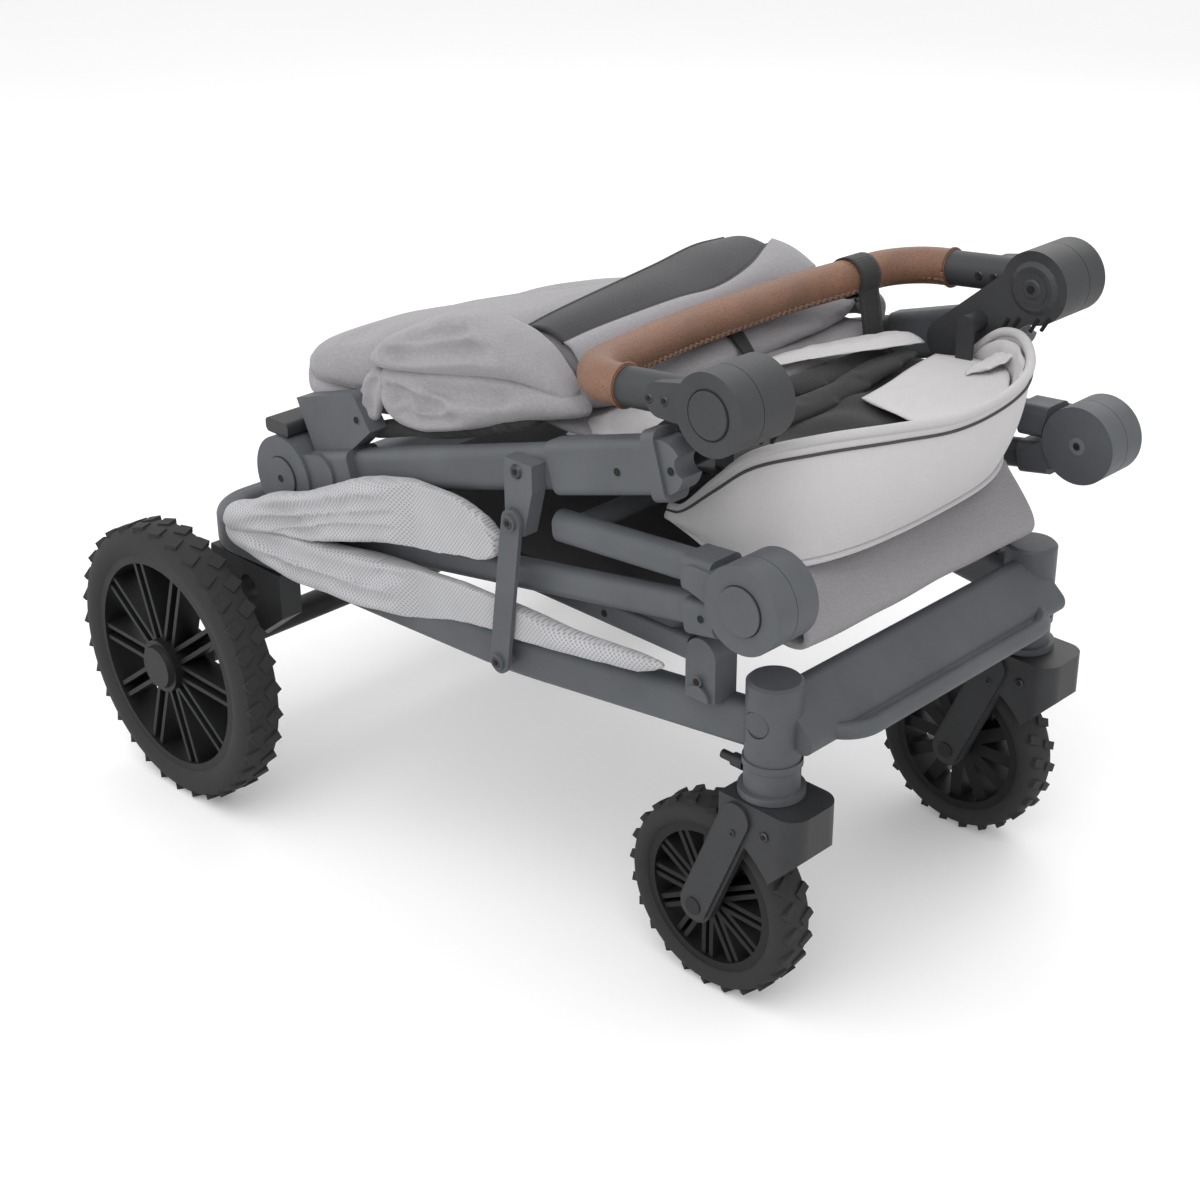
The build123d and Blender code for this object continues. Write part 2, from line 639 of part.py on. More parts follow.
# Floor board laid on the two struts
with BuildPart() as floor_board:
    with BuildSketch(Plane.XY.offset(KNUCKLE_TOP)):
        with Locations(((strut_front + strut_rear) / 2, 0)):
            RectangleRounded(strut_front - strut_rear - BOARD_MARGIN, 2 * STRUT_Y + BOARD_LAP, BOARD_CORNER)
    extrude(amount=FLOOR_T)
save(floor_board.part, "floor_board")


def hinge_disc(x, z, radius, inner, outer):
    """Face of a hinge half, extruded outwards between two distances from the middle."""
    with BuildSketch(at_side(inner)) as face:
        with Locations((x, z)):
            Circle(radius)
    extrude(face.sketch, amount=outer - inner)


def hinge_bore(x, z, radius, inner, outer):
    """Pin bore through a hinge half."""
    with BuildSketch(at_side(inner)) as face:
        with Locations((x, z)):
            Circle(radius)
    extrude(face.sketch, amount=outer - inner, mode=Mode.SUBTRACT)


def hinge_neck(x, z, radius, end, end_r, inner, outer):
    """Web between a hinge disc and the socket of its tube."""
    with BuildSketch(at_side(inner)) as face:
        with Locations((x, z)):
            Circle(radius)
        with Locations(end):
            Circle(end_r)
        make_hull()
    extrude(face.sketch, amount=outer - inner)


def tube_socket(start, rise, length, height):
    """Socket block round the end of a wall tube."""
    with BuildSketch(along(start[0], WALL_TUBE_Y, start[1], rise)) as face:
        RectangleRounded(SOCKET_W, height, SOCKET_CORNER)
    extrude(face.sketch, amount=length)


# Front fold hinge: the inner half belongs to the floor, the outer half to the front wall
low_mid = (FRONT_PIVOT_X - LOW_ARM_BACK, FRONT_PIVOT_Z - LOW_ARM_DROP)
top_mid = (FRONT_PIVOT_X - TOP_ARM_BACK, FRONT_PIVOT_Z + TOP_ARM_LIFT)
low_end = out_from(low_mid[0], low_mid[1], FLOOR_RISE, -SOCKET_L / 2)
top_end = out_from(top_mid[0], top_mid[1], FRONT_WALL_RISE, -SOCKET_L / 2)
with BuildPart() as front_hinge_lower:
    hinge_disc(FRONT_PIVOT_X, FRONT_PIVOT_Z, FRONT_HINGE_R, HINGE_INNER_Y, HINGE_SPLIT_Y)
    hinge_neck(FRONT_PIVOT_X, FRONT_PIVOT_Z, FRONT_HINGE_R / 2, low_mid, NECK_R,
               HINGE_INNER_Y + NECK_INSET, HINGE_SPLIT_Y)
    tube_socket(low_end, FLOOR_RISE, SOCKET_L, FRONT_TUBE_H + SOCKET_WALL)
    hinge_bore(FRONT_PIVOT_X, FRONT_PIVOT_Z, FRONT_HINGE_R + SOFT_GAP,
               HINGE_SPLIT_Y, HINGE_OUTER_Y + SOCKET_W)
    hinge_bore(FRONT_PIVOT_X, FRONT_PIVOT_Z, HINGE_PIN_R + SEAT_GAP, HINGE_INNER_Y, HINGE_OUTER_Y)
save_pair(front_hinge_lower.part, "front_hinge_lower")

with BuildPart() as front_hinge_arm:
    hinge_disc(FRONT_PIVOT_X, FRONT_PIVOT_Z, FRONT_HINGE_R, HINGE_SPLIT_Y + FACE_GAP, HINGE_OUTER_Y)
    hinge_neck(FRONT_PIVOT_X, FRONT_PIVOT_Z, FRONT_HINGE_R / 2, top_mid, NECK_R,
               HINGE_SPLIT_Y + FACE_GAP, HINGE_OUTER_Y - NECK_INSET)
    tube_socket(top_end, FRONT_WALL_RISE, SOCKET_L, FRONT_TUBE_H + SOCKET_WALL)
    hinge_bore(FRONT_PIVOT_X, FRONT_PIVOT_Z, FRONT_HINGE_R + SOFT_GAP,
               HINGE_INNER_Y - SOCKET_W, HINGE_SPLIT_Y + FACE_GAP)
    hinge_bore(FRONT_PIVOT_X, FRONT_PIVOT_Z, HINGE_PIN_R + RUN_GAP, HINGE_SPLIT_Y, HINGE_OUTER_Y)
    hinge_disc(FRONT_PIVOT_X, FRONT_PIVOT_Z, HINGE_CAP_R, HINGE_OUTER_Y, HINGE_OUTER_Y + HINGE_CAP_T)
save_pair(front_hinge_arm.part, "front_hinge_arm")

# Rear fold hinge: the bracket stands on the base frame, the arm carries the rear wall
rear_socket = out_from(REAR_PIVOT_X, REAR_PIVOT_Z, REAR_WALL_RISE, REAR_HINGE_R + SOFT_GAP)
rear_neck = out_from(REAR_PIVOT_X, REAR_PIVOT_Z, REAR_WALL_RISE, REAR_HINGE_R + SOCKET_L / 2)
with BuildPart() as rear_hinge_bracket:
    hinge_disc(REAR_PIVOT_X, REAR_PIVOT_Z, REAR_HINGE_R, HINGE_INNER_Y, HINGE_SPLIT_Y)
    with BuildSketch(at_side(HINGE_INNER_Y)):
        with Locations((REAR_PIVOT_X + REAR_HINGE_R, REAR_PIVOT_Z)):
            Rectangle(BRACKET_L, REAR_PIVOT_Z - RAIL_TOP, align=(Align.MAX, Align.MAX))
    extrude(amount=HINGE_SPLIT_Y - HINGE_INNER_Y)
    with BuildSketch(at_side(HINGE_INNER_Y)):
        with Locations((REAR_PIVOT_X + REAR_HINGE_R, RAIL_TOP)):
            Rectangle(BRACKET_L, BRACKET_FOOT_T, align=(Align.MAX, Align.MIN))
    extrude(amount=RAIL_REAR_Y - HINGE_INNER_Y)
    hinge_bore(REAR_PIVOT_X, REAR_PIVOT_Z, HINGE_PIN_R + SEAT_GAP, HINGE_INNER_Y, HINGE_OUTER_Y)
save_pair(rear_hinge_bracket.part, "rear_hinge_bracket")

tube_from = REAR_HINGE_R + SOFT_GAP + REAR_SOCKET_L
wing_outline = [(WING_BACK, 0), (WING_BACK - WING_LEAN, WING_H), (WING_FRONT - WING_LEAN, WING_H),
                (WING_FRONT, WING_H / 2), (tube_from, (REAR_TUBE_H + SOCKET_WALL) / 2), (tube_from, 0)]
wing_points = [out_from(REAR_PIVOT_X, REAR_PIVOT_Z, REAR_WALL_RISE, *corner) for corner in wing_outline]
with BuildPart() as rear_hinge_arm:
    with BuildSketch(at_side(WALL_TUBE_Y - WING_T / 2)):
        with BuildLine():
            Polyline(*wing_points, wing_points[0])
        make_face()
    extrude(amount=WING_T)
    fillet(rear_hinge_arm.edges().filter_by(Axis.Y).group_by(Axis.Z)[-1], WING_CORNER)
    hinge_disc(REAR_PIVOT_X, REAR_PIVOT_Z, REAR_HINGE_R, HINGE_SPLIT_Y + FACE_GAP, HINGE_OUTER_Y)
    hinge_neck(REAR_PIVOT_X, REAR_PIVOT_Z, REAR_HINGE_R / 2, rear_neck, REAR_NECK_R,
               HINGE_SPLIT_Y + FACE_GAP, HINGE_OUTER_Y - NECK_INSET)
    tube_socket(rear_socket, REAR_WALL_RISE, REAR_SOCKET_L, REAR_TUBE_H + SOCKET_WALL)
    hinge_bore(REAR_PIVOT_X, REAR_PIVOT_Z, REAR_HINGE_R + SOFT_GAP,
               HINGE_INNER_Y - SOCKET_W, HINGE_SPLIT_Y + FACE_GAP)
    hinge_bore(REAR_PIVOT_X, REAR_PIVOT_Z, HINGE_PIN_R + RUN_GAP, HINGE_SPLIT_Y, HINGE_OUTER_Y)
    hinge_disc(REAR_PIVOT_X, REAR_PIVOT_Z, HINGE_CAP_R, HINGE_OUTER_Y, HINGE_OUTER_Y + HINGE_CAP_T)
save_pair(rear_hinge_arm.part, "rear_hinge_arm")

# Fold pins, one through each hinge, held in the fixed halves
pin_l = HINGE_OUTER_Y - HINGE_INNER_Y - FACE_GAP
pin_solids = []
for pin_x, pin_z in ((FRONT_PIVOT_X, FRONT_PIVOT_Z), (REAR_PIVOT_X, REAR_PIVOT_Z)):
    with BuildPart() as hinge_pin:
        with BuildSketch(at_side(HINGE_INNER_Y)):
            with Locations((pin_x, pin_z)):
                Circle(HINGE_PIN_R)
        extrude(amount=pin_l)
    pin_solids += [hinge_pin.part, mirror(hinge_pin.part, about=Plane.XZ)]
save(Compound(children=pin_solids), "hinge_pins")

# Floor rail from the front hinge down to the rear hinge bracket
rail_run = low_end[0] - REAR_PIVOT_X - REAR_HINGE_R - BUTTON_GAP
rail_l = (rail_run - FRONT_TUBE_H / 2 * sin(radians(FLOOR_RISE))) / cos(radians(FLOOR_RISE))
rail_start = out_from(low_end[0], low_end[1], FLOOR_RISE, -rail_l)
with BuildPart() as floor_rail:
    with BuildSketch(along(rail_start[0], FLOOR_RAIL_Y, rail_start[1], FLOOR_RISE)):
        SlotOverall(FRONT_TUBE_H, FLOOR_RAIL_W, rotation=90)
    extrude(amount=rail_l)
save_both(floor_rail.part, "floor_rails")

# Front wall frame: a tube from each hinge arm, welded to a cross tube
wall_end = out_from(top_end[0], top_end[1], FRONT_WALL_RISE, -FRONT_WALL_L + SOCKET_L + TOP_ARM_BACK)
cross_at = out_from(wall_end[0], wall_end[1], FRONT_WALL_RISE, CROSS_TUBE_R + RIM_INSET)
with BuildPart() as front_wall_frame:
    for tube_y in (WALL_TUBE_Y, -WALL_TUBE_Y):
        with BuildSketch(along(wall_end[0], tube_y, wall_end[1], FRONT_WALL_RISE)):
            SlotOverall(FRONT_TUBE_H, WALL_TUBE_W, rotation=90)
        extrude(amount=FRONT_WALL_L - SOCKET_L - TOP_ARM_BACK)
    with BuildSketch(Plane.XZ):
        with Locations(cross_at):
            Circle(CROSS_TUBE_R)
    extrude(amount=WALL_TUBE_Y, both=True)
save(front_wall_frame.part, "front_wall_frame")

# Rear wall tube from the hinge arm to the front sleeve
sleeve_from = REAR_WALL_L - SLEEVE_L
tube_start = out_from(REAR_PIVOT_X, REAR_PIVOT_Z, REAR_WALL_RISE, tube_from)
sleeve_start = out_from(REAR_PIVOT_X, REAR_PIVOT_Z, REAR_WALL_RISE, sleeve_from)
clip_start = out_from(REAR_PIVOT_X, REAR_PIVOT_Z, REAR_WALL_RISE, REAR_WALL_L)
clip_mid = out_from(REAR_PIVOT_X, REAR_PIVOT_Z, REAR_WALL_RISE, REAR_WALL_L + CLIP_FLANGE_T)
with BuildPart() as rear_wall_tube:
    with BuildSketch(along(tube_start[0], WALL_TUBE_Y, tube_start[1], REAR_WALL_RISE)):
        SlotOverall(REAR_TUBE_H, WALL_TUBE_W, rotation=90)
    extrude(amount=sleeve_from - tube_from)
save_pair(rear_wall_tube.part, "rear_wall_tube")

# Sleeve on the end of the rear wall tube, with a flange and an open clip in front
with BuildPart() as wall_sleeve:
    with BuildSketch(along(sleeve_start[0], WALL_TUBE_Y, sleeve_start[1], REAR_WALL_RISE)):
        RectangleRounded(WALL_TUBE_W + SLEEVE_WALL, REAR_TUBE_H + SLEEVE_WALL, SOCKET_CORNER)
    extrude(amount=SLEEVE_L)
    with BuildSketch(along(clip_start[0], WALL_TUBE_Y, clip_start[1], REAR_WALL_RISE)):
        RectangleRounded(WALL_TUBE_W + SLEEVE_WALL, REAR_TUBE_H + 3 * SLEEVE_WALL, SOCKET_CORNER)
    extrude(amount=CLIP_FLANGE_T)
    with BuildSketch(at_side(WALL_TUBE_Y - WALL_TUBE_W / 2)):
        with Locations(clip_mid):
            Circle(CLIP_R)
        with Locations((clip_mid[0] + CLIP_R, clip_mid[1] + CLIP_RISE)):
            Circle(CLIP_GROOVE_R, mode=Mode.SUBTRACT)
    extrude(amount=WALL_TUBE_W)
save_pair(wall_sleeve.part, "wall_sleeve")

# Handle arm: neck from the inner side of the sleeve up to the inner half of the handle hub
neck_foot = out_from(REAR_PIVOT_X, REAR_PIVOT_Z, REAR_WALL_RISE, REAR_WALL_L - NECK_LAP)
with BuildPart() as handle_arm:
    hinge_neck(HUB_X, HUB_Z, NECK_TOP_R, neck_foot, NECK_FOOT_R, HUB_INNER_Y, NECK_OUTER_Y)
    hinge_disc(HUB_X, HUB_Z, HUB_R, HUB_INNER_Y, HUB_SPLIT_Y)
    hinge_disc(neck_foot[0], neck_foot[1], NECK_FOOT_R - SLEEVE_WALL / 2, HUB_INNER_Y,
               WALL_TUBE_Y - (WALL_TUBE_W + SLEEVE_WALL) / 2 - SEAT_GAP)
    hinge_disc(HUB_X, HUB_Z, REAR_AXLE_R, HUB_SPLIT_Y, HUB_SPLIT_Y + HUB_PIN_L)
save_pair(handle_arm.part, "handle_arm")

# Handle end: outer half of the hub with its button pocket, and the socket of the grip
HANDLE_RISE = 180.0 + HANDLE_FALL
end_from = out_from(HUB_X, HUB_Z, HANDLE_RISE, HUB_R + SOFT_GAP)
end_mid = out_from(HUB_X, HUB_Z, HANDLE_RISE, HUB_R + END_NECK)
with BuildPart() as handle_end:
    hinge_disc(HUB_X, HUB_Z, HUB_R, HUB_SPLIT_Y + FACE_GAP, HUB_OUTER_Y)
    hinge_neck(HUB_X, HUB_Z, END_ROOT_R, end_mid, END_TIP_R, HUB_SPLIT_Y + FACE_GAP, HANDLE_Y + END_R)
    with BuildSketch(along(end_from[0], HANDLE_Y, end_from[1], HANDLE_RISE)):
        Circle(END_R)
    extrude(amount=GRIP_START - HUB_R - SOFT_GAP)
    hinge_bore(HUB_X, HUB_Z, HUB_R + SOFT_GAP, HUB_INNER_Y - END_R, HUB_SPLIT_Y + FACE_GAP)
    hinge_bore(HUB_X, HUB_Z, REAR_AXLE_R + RUN_GAP, HUB_SPLIT_Y, HUB_SPLIT_Y + HUB_PIN_L + FACE_GAP)
    hinge_bore(HUB_X, HUB_Z, HUB_BUTTON_R + BUTTON_GAP, HUB_OUTER_Y - HUB_POCKET, HUB_OUTER_Y)
save_pair(handle_end.part, "handle_end")

# Hub button that frees the handle
with BuildPart() as hub_button:
    hinge_disc(HUB_X, HUB_Z, HUB_BUTTON_R, HUB_OUTER_Y - HUB_POCKET + HUB_BUTTON_TRAVEL + FACE_GAP,
               HUB_OUTER_Y + HUB_BUTTON_PROUD)
    fillet(hub_button.edges().group_by(Axis.Y)[0], BUTTON_EDGE)
save_pair(hub_button.part, "hub_button")

# Leather grip, bent in the handle's own plane and bowed across the middle
handle_plane = Plane((HUB_X, 0, HUB_Z), x_dir=(-cos(radians(HANDLE_FALL)), 0, -sin(radians(HANDLE_FALL))),
                     z_dir=(sin(radians(HANDLE_FALL)), 0, -cos(radians(HANDLE_FALL))))
with BuildPart() as handle_grip:
    with BuildLine(handle_plane) as grip_path:
        FilletPolyline((GRIP_START, -HANDLE_Y), (HANDLE_REACH - GRIP_BOW, -HANDLE_Y),
                       (HANDLE_REACH, -GRIP_FLAT), (HANDLE_REACH, GRIP_FLAT),
                       (HANDLE_REACH - GRIP_BOW, HANDLE_Y), (GRIP_START, HANDLE_Y),
                       radius=[GRIP_CORNER_R, GRIP_BOW_R, GRIP_BOW_R, GRIP_CORNER_R])
    with BuildSketch(Plane(grip_path.line @ 0, z_dir=grip_path.line % 0)):
        Circle(GRIP_R)
    sweep(path=grip_path.line)
save(handle_grip.part, "handle_grip")

# Wrist strap: webbing loop round the grip with a hanging tail
strap_slope = GRIP_BOW / (HANDLE_Y - GRIP_FLAT)
strap_point = handle_plane.from_local_coords((HANDLE_REACH - strap_slope * (STRAP_Y - GRIP_FLAT), STRAP_Y))
strap_way = (handle_plane.y_dir - handle_plane.x_dir * strap_slope).normalized()
strap_plane = Plane(strap_point, x_dir=(strap_way.Y, -strap_way.X, 0), z_dir=strap_way)
strap_out = GRIP_R + STRAP_GAP + STRAP_T
with BuildPart() as wrist_strap:
    with BuildSketch(strap_plane.offset(-STRAP_W / 2)):
        Circle(strap_out)
        with Locations((strap_out - STRAP_T, 0)):
            Rectangle(STRAP_T, STRAP_DROP + strap_out, align=(Align.MIN, Align.MIN))
        Circle(GRIP_R + STRAP_GAP, mode=Mode.SUBTRACT)
    extrude(amount=STRAP_W)
save(wrist_strap.part, "wrist_strap")

# Fold lock: bar hinged on the base rail, and the bracket on the rear wall tube that it catches
LOCK_FOOT_X = POST_X - LOCK_FOOT_BACK
LOCK_FOOT_Z = RAIL_Z
LOCK_TOP_X = LOCK_FOOT_X + LOCK_BAR_LEAN
LOCK_TOP_Z = LOCK_FOOT_Z + LOCK_BAR_RISE
LOCK_BAR_Y = RAIL_BEND_Y + RAIL_W / 2 + LOCK_STANDOFF
with BuildPart() as fold_lock_bar:
    with BuildSketch(at_side(LOCK_BAR_Y)):
        with Locations(((LOCK_FOOT_X + LOCK_TOP_X) / 2, (LOCK_FOOT_Z + LOCK_TOP_Z) / 2)):
            SlotCenterToCenter(hypot(LOCK_BAR_LEAN, LOCK_BAR_RISE), LOCK_BAR_W,
                               rotation=degrees(atan2(LOCK_BAR_RISE, LOCK_BAR_LEAN)))
    extrude(amount=LOCK_BAR_T)
    with BuildSketch(at_side(LOCK_BAR_Y + LOCK_BAR_T)):
        with Locations((LOCK_FOOT_X, LOCK_FOOT_Z), (LOCK_TOP_X, LOCK_TOP_Z)):
            Circle(LOCK_RIVET_R)
    extrude(amount=LOCK_RIVET_T)
    with BuildSketch(at_side(LOCK_BAR_Y)):
        with Locations((LOCK_FOOT_X, LOCK_FOOT_Z)):
            Circle(LOCK_RIVET_R)
    extrude(amount=-(LOCK_STANDOFF - FACE_GAP))
save(fold_lock_bar.part, "fold_lock_bar")

lock_along = (LOCK_TOP_X - REAR_PIVOT_X) / cos(radians(REAR_WALL_RISE))
lock_root = out_from(REAR_PIVOT_X, REAR_PIVOT_Z, REAR_WALL_RISE, lock_along)
with BuildPart() as lock_bracket:
    with BuildSketch(at_side(WALL_TUBE_Y + WALL_TUBE_W / 2 + SEAT_GAP)):
        with BuildLine():
            Polyline((lock_root[0] - LOCK_BAR_W / 2, lock_root[1] + REAR_TUBE_H / 3),
                     (lock_root[0] + LOCK_BAR_W, lock_root[1] + REAR_TUBE_H / 3),
                     (lock_root[0] + LOCK_BAR_W, lock_root[1] - REAR_TUBE_H / 4),
                     (LOCK_TOP_X + LOCK_BAR_W / 2, LOCK_TOP_Z - LOCK_BAR_W / 2),
                     (LOCK_TOP_X - LOCK_BAR_W / 2, LOCK_TOP_Z - LOCK_BAR_W / 2),
                     (lock_root[0] - LOCK_BAR_W / 2, lock_root[1] + REAR_TUBE_H / 3))
        make_face()
    extrude(amount=LOCK_BAR_Y - FACE_GAP - WALL_TUBE_Y - WALL_TUBE_W / 2 - SEAT_GAP)
save(lock_bracket.part, "lock_bracket")

# Rear cross bar, resting on the outer halves of the two rear hinges
with BuildPart() as rear_cross_bar:
    with BuildSketch(Plane.XZ):
        with Locations((REAR_PIVOT_X - BAR_BACK, REAR_PIVOT_Z + REAR_HINGE_R + BAR_DEPTH / 2 + SEAT_GAP)):
            RectangleRounded(BAR_L, BAR_DEPTH, BAR_CORNER)
    extrude(amount=HINGE_OUTER_Y - NECK_INSET, both=True)
save(rear_cross_bar.part, "rear_cross_bar")

# Folded hood: layers of cloth heaped on the rear wall, crowned and drawn in at the ends
with BuildPart() as hood_bundle:
    for ahead, half_width, low, right_top, left_top in HOOD_SECTIONS:
        hood_mid = (REAR_PIVOT_X + ahead, 0, REAR_PIVOT_Z)
        with BuildSketch(Plane(hood_mid, x_dir=(0, 1, 0), z_dir=(1, 0, 0))):
            with BuildLine():
                Polyline((-half_width, low), (half_width, low), (half_width, left_top),
                         (-half_width, right_top), close=True)
            hood_face = make_face()
            fillet(hood_face.vertices(), (left_top - low) * HOOD_ROUND)
    loft()
save(hood_bundle.part, "hood_bundle")

# Mesh part of the hood, folded flat between the handle arms
MESH_BACK_X = HUB_X - MESH_BACK
MESH_FRONT_X = HUB_X - MESH_FRONT
with BuildPart() as hood_mesh:
    with BuildSketch(Plane.XZ):
        with BuildLine():
            Polyline((MESH_BACK_X, MESH_BACK_Z), (MESH_FRONT_X, MESH_FRONT_Z),
                     (MESH_FRONT_X, MESH_FRONT_Z + MESH_T), (MESH_BACK_X, MESH_BACK_Z + MESH_T),
                     (MESH_BACK_X, MESH_BACK_Z))
        make_face()
    extrude(amount=HUB_INNER_Y - BUTTON_GAP, both=True)
    fillet(hood_mesh.edges().filter_by(Axis.Y), MESH_ROUND)
save(hood_mesh.part, "hood_mesh")

# Canopy: bow on two pivots at the handle arms, and the stiff visor in front of it
canopy_x = HUB_X + (neck_foot[0] - HUB_X) * CANOPY_ALONG
canopy_z = HUB_Z + (neck_foot[1] - HUB_Z) * CANOPY_ALONG
canopy_pivot = (canopy_x, canopy_z)
VISOR_END_X = HUB_X - VISOR_END_BACK
VISOR_LOW_X = HUB_X + VISOR_LOW_AHEAD
VISOR_HIGH_X = HUB_X + VISOR_HIGH_AHEAD
visor_in = VISOR_Y - VISOR_T


def bow_band(z, back, front, half_width, thickness, bend):
    """Level band bent to a U round the front of the canopy."""
    inside = half_width - thickness
    with BuildSketch(Plane.XY.offset(z)) as band:
        with BuildLine():
            outer = FilletPolyline((back, -half_width), (front, -half_width), (front, half_width),
                                   (back, half_width), radius=bend)
            inner = FilletPolyline((back, -inside), (front - thickness, -inside), (front - thickness, inside),
                                   (back, inside), radius=bend - thickness)
            Line(outer @ 0, inner @ 0)
            Line(outer @ 1, inner @ 1)
        make_face()
    return band.sketch


bow_foot = VISOR_LOW + BOW_LIFT
bow_front = VISOR_LOW_X - VISOR_T - BOW_GAP
bow_out = visor_in - BOW_GAP
with BuildPart() as canopy_bow:
    for arm_side in (1, -1):
        arm_plane = Plane.XZ.offset(arm_side * (bow_out - BOW_T))
        with BuildSketch(arm_plane):
            with Locations(canopy_pivot):
                Circle(BOW_PIVOT_R)
            with Locations((canopy_x, bow_foot + BOW_H / 2)):
                Circle(BOW_H / 2)
            make_hull()
        extrude(amount=arm_side * BOW_T)
        with BuildSketch(arm_plane):
            with Locations(canopy_pivot):
                Circle(BOW_PIVOT_R)
        extrude(amount=arm_side * (HUB_INNER_Y - FACE_GAP - bow_out + BOW_T))
    bow_strip = bow_band(bow_foot, canopy_x - BOW_TAIL, bow_front, bow_out, BOW_T,
                         VISOR_LOW_BEND - VISOR_T - BOW_GAP)
    extrude(bow_strip, amount=BOW_H)
save(canopy_bow.part, "canopy_bow")

with BuildPart() as canopy_visor:
    visor_foot = bow_band(VISOR_LOW, VISOR_END_X, VISOR_LOW_X, VISOR_Y, VISOR_T, VISOR_LOW_BEND)
    visor_rim = bow_band(VISOR_LOW + VISOR_H, VISOR_END_X, VISOR_HIGH_X, VISOR_Y, VISOR_T, VISOR_HIGH_BEND)
    loft([visor_foot.face(), visor_rim.face()], ruled=True)
    rim_plane = Plane((VISOR_END_X, 0, VISOR_LOW + VISOR_END_H), x_dir=(0, 1, 0),
                      z_dir=(-sin(radians(VISOR_END_SLOPE)), 0, cos(radians(VISOR_END_SLOPE))))
    split(bisect_by=rim_plane, keep=Keep.BOTTOM)
save(canopy_visor.part, "canopy_visor")

# Front panel: cloth from the floor board's front edge, turned up under the visor
panel_start = strut_front - BOARD_MARGIN / 2 + PANEL_T / 2 + BUTTON_GAP
with BuildPart() as front_panel:
    with BuildSketch(Plane.XZ):
        with BuildLine():
            panel_line = FilletPolyline((panel_start, KNUCKLE_TOP + FLOOR_T / 2),
                                        (POST_X + PANEL_AHEAD, PANEL_LOW),
                                        (POST_X - PANEL_LEAN, PANEL_HIGH), radius=PANEL_BEND)
            offset(panel_line, amount=PANEL_T / 2, side=Side.BOTH)
        make_face()
    extrude(amount=PANEL_Y, both=True)
save(front_panel.part, "front_panel")

# Side mesh: folded net panel that lies on the base rail outside the tubes
net_low = RAIL_TOP + BUTTON_GAP
with BuildPart() as side_mesh:
    for ahead, high in SIDE_MESH_SECTIONS:
        net_mid = (REAR_PIVOT_X + ahead, -SIDE_MESH_Y, (net_low + high) / 2)
        with BuildSketch(Plane(net_mid, x_dir=(0, 1, 0), z_dir=(1, 0, 0))):
            RectangleRounded(SIDE_MESH_T, high - net_low, SIDE_MESH_ROUND)
    loft()
save_pair(side_mesh.part, "side_mesh")
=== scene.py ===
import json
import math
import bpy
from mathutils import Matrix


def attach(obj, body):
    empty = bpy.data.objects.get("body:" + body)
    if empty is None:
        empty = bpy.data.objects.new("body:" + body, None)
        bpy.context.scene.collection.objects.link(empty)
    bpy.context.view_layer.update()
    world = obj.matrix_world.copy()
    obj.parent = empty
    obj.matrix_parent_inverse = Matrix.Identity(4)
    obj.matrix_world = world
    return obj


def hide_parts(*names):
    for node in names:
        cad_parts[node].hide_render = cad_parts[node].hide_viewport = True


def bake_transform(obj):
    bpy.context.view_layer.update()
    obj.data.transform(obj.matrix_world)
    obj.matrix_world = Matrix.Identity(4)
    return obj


bl_info = {
    "name": "Folded Pet Stroller",
    "version": (1, 0, 0),
    "blender": (4, 5, 0),
    "location": "View3D > Sidebar > Stroller",
    "description": "Dresses the packed stroller frame with cloth, leather, nets, fasteners and finishes",
    "category": "Object",
}

import bmesh
import bpy
import numpy as np
from mathutils import Quaternion, Vector, noise

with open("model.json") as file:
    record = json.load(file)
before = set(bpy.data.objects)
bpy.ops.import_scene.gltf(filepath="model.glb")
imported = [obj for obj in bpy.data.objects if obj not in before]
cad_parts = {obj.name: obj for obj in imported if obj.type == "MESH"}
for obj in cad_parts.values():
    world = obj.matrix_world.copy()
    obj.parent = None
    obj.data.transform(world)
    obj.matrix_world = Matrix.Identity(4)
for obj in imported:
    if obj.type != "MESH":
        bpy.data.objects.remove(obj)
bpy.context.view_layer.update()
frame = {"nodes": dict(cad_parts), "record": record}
SLOT_COLOUR = {m["slot"]: tuple(m["base_color"]) for m in frame["record"]["materials"]}
MM = 0.001
SIDE_FLIPS = (("right", 1), ("left", -1))

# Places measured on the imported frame, in millimetres
REAR_PIVOT = (-176.0, 350.0)
REAR_WALL_RISE = math.radians(16.8)
HUB = (345.0, 549.0)
FRONT_PIVOT = (389.0, 408.0)


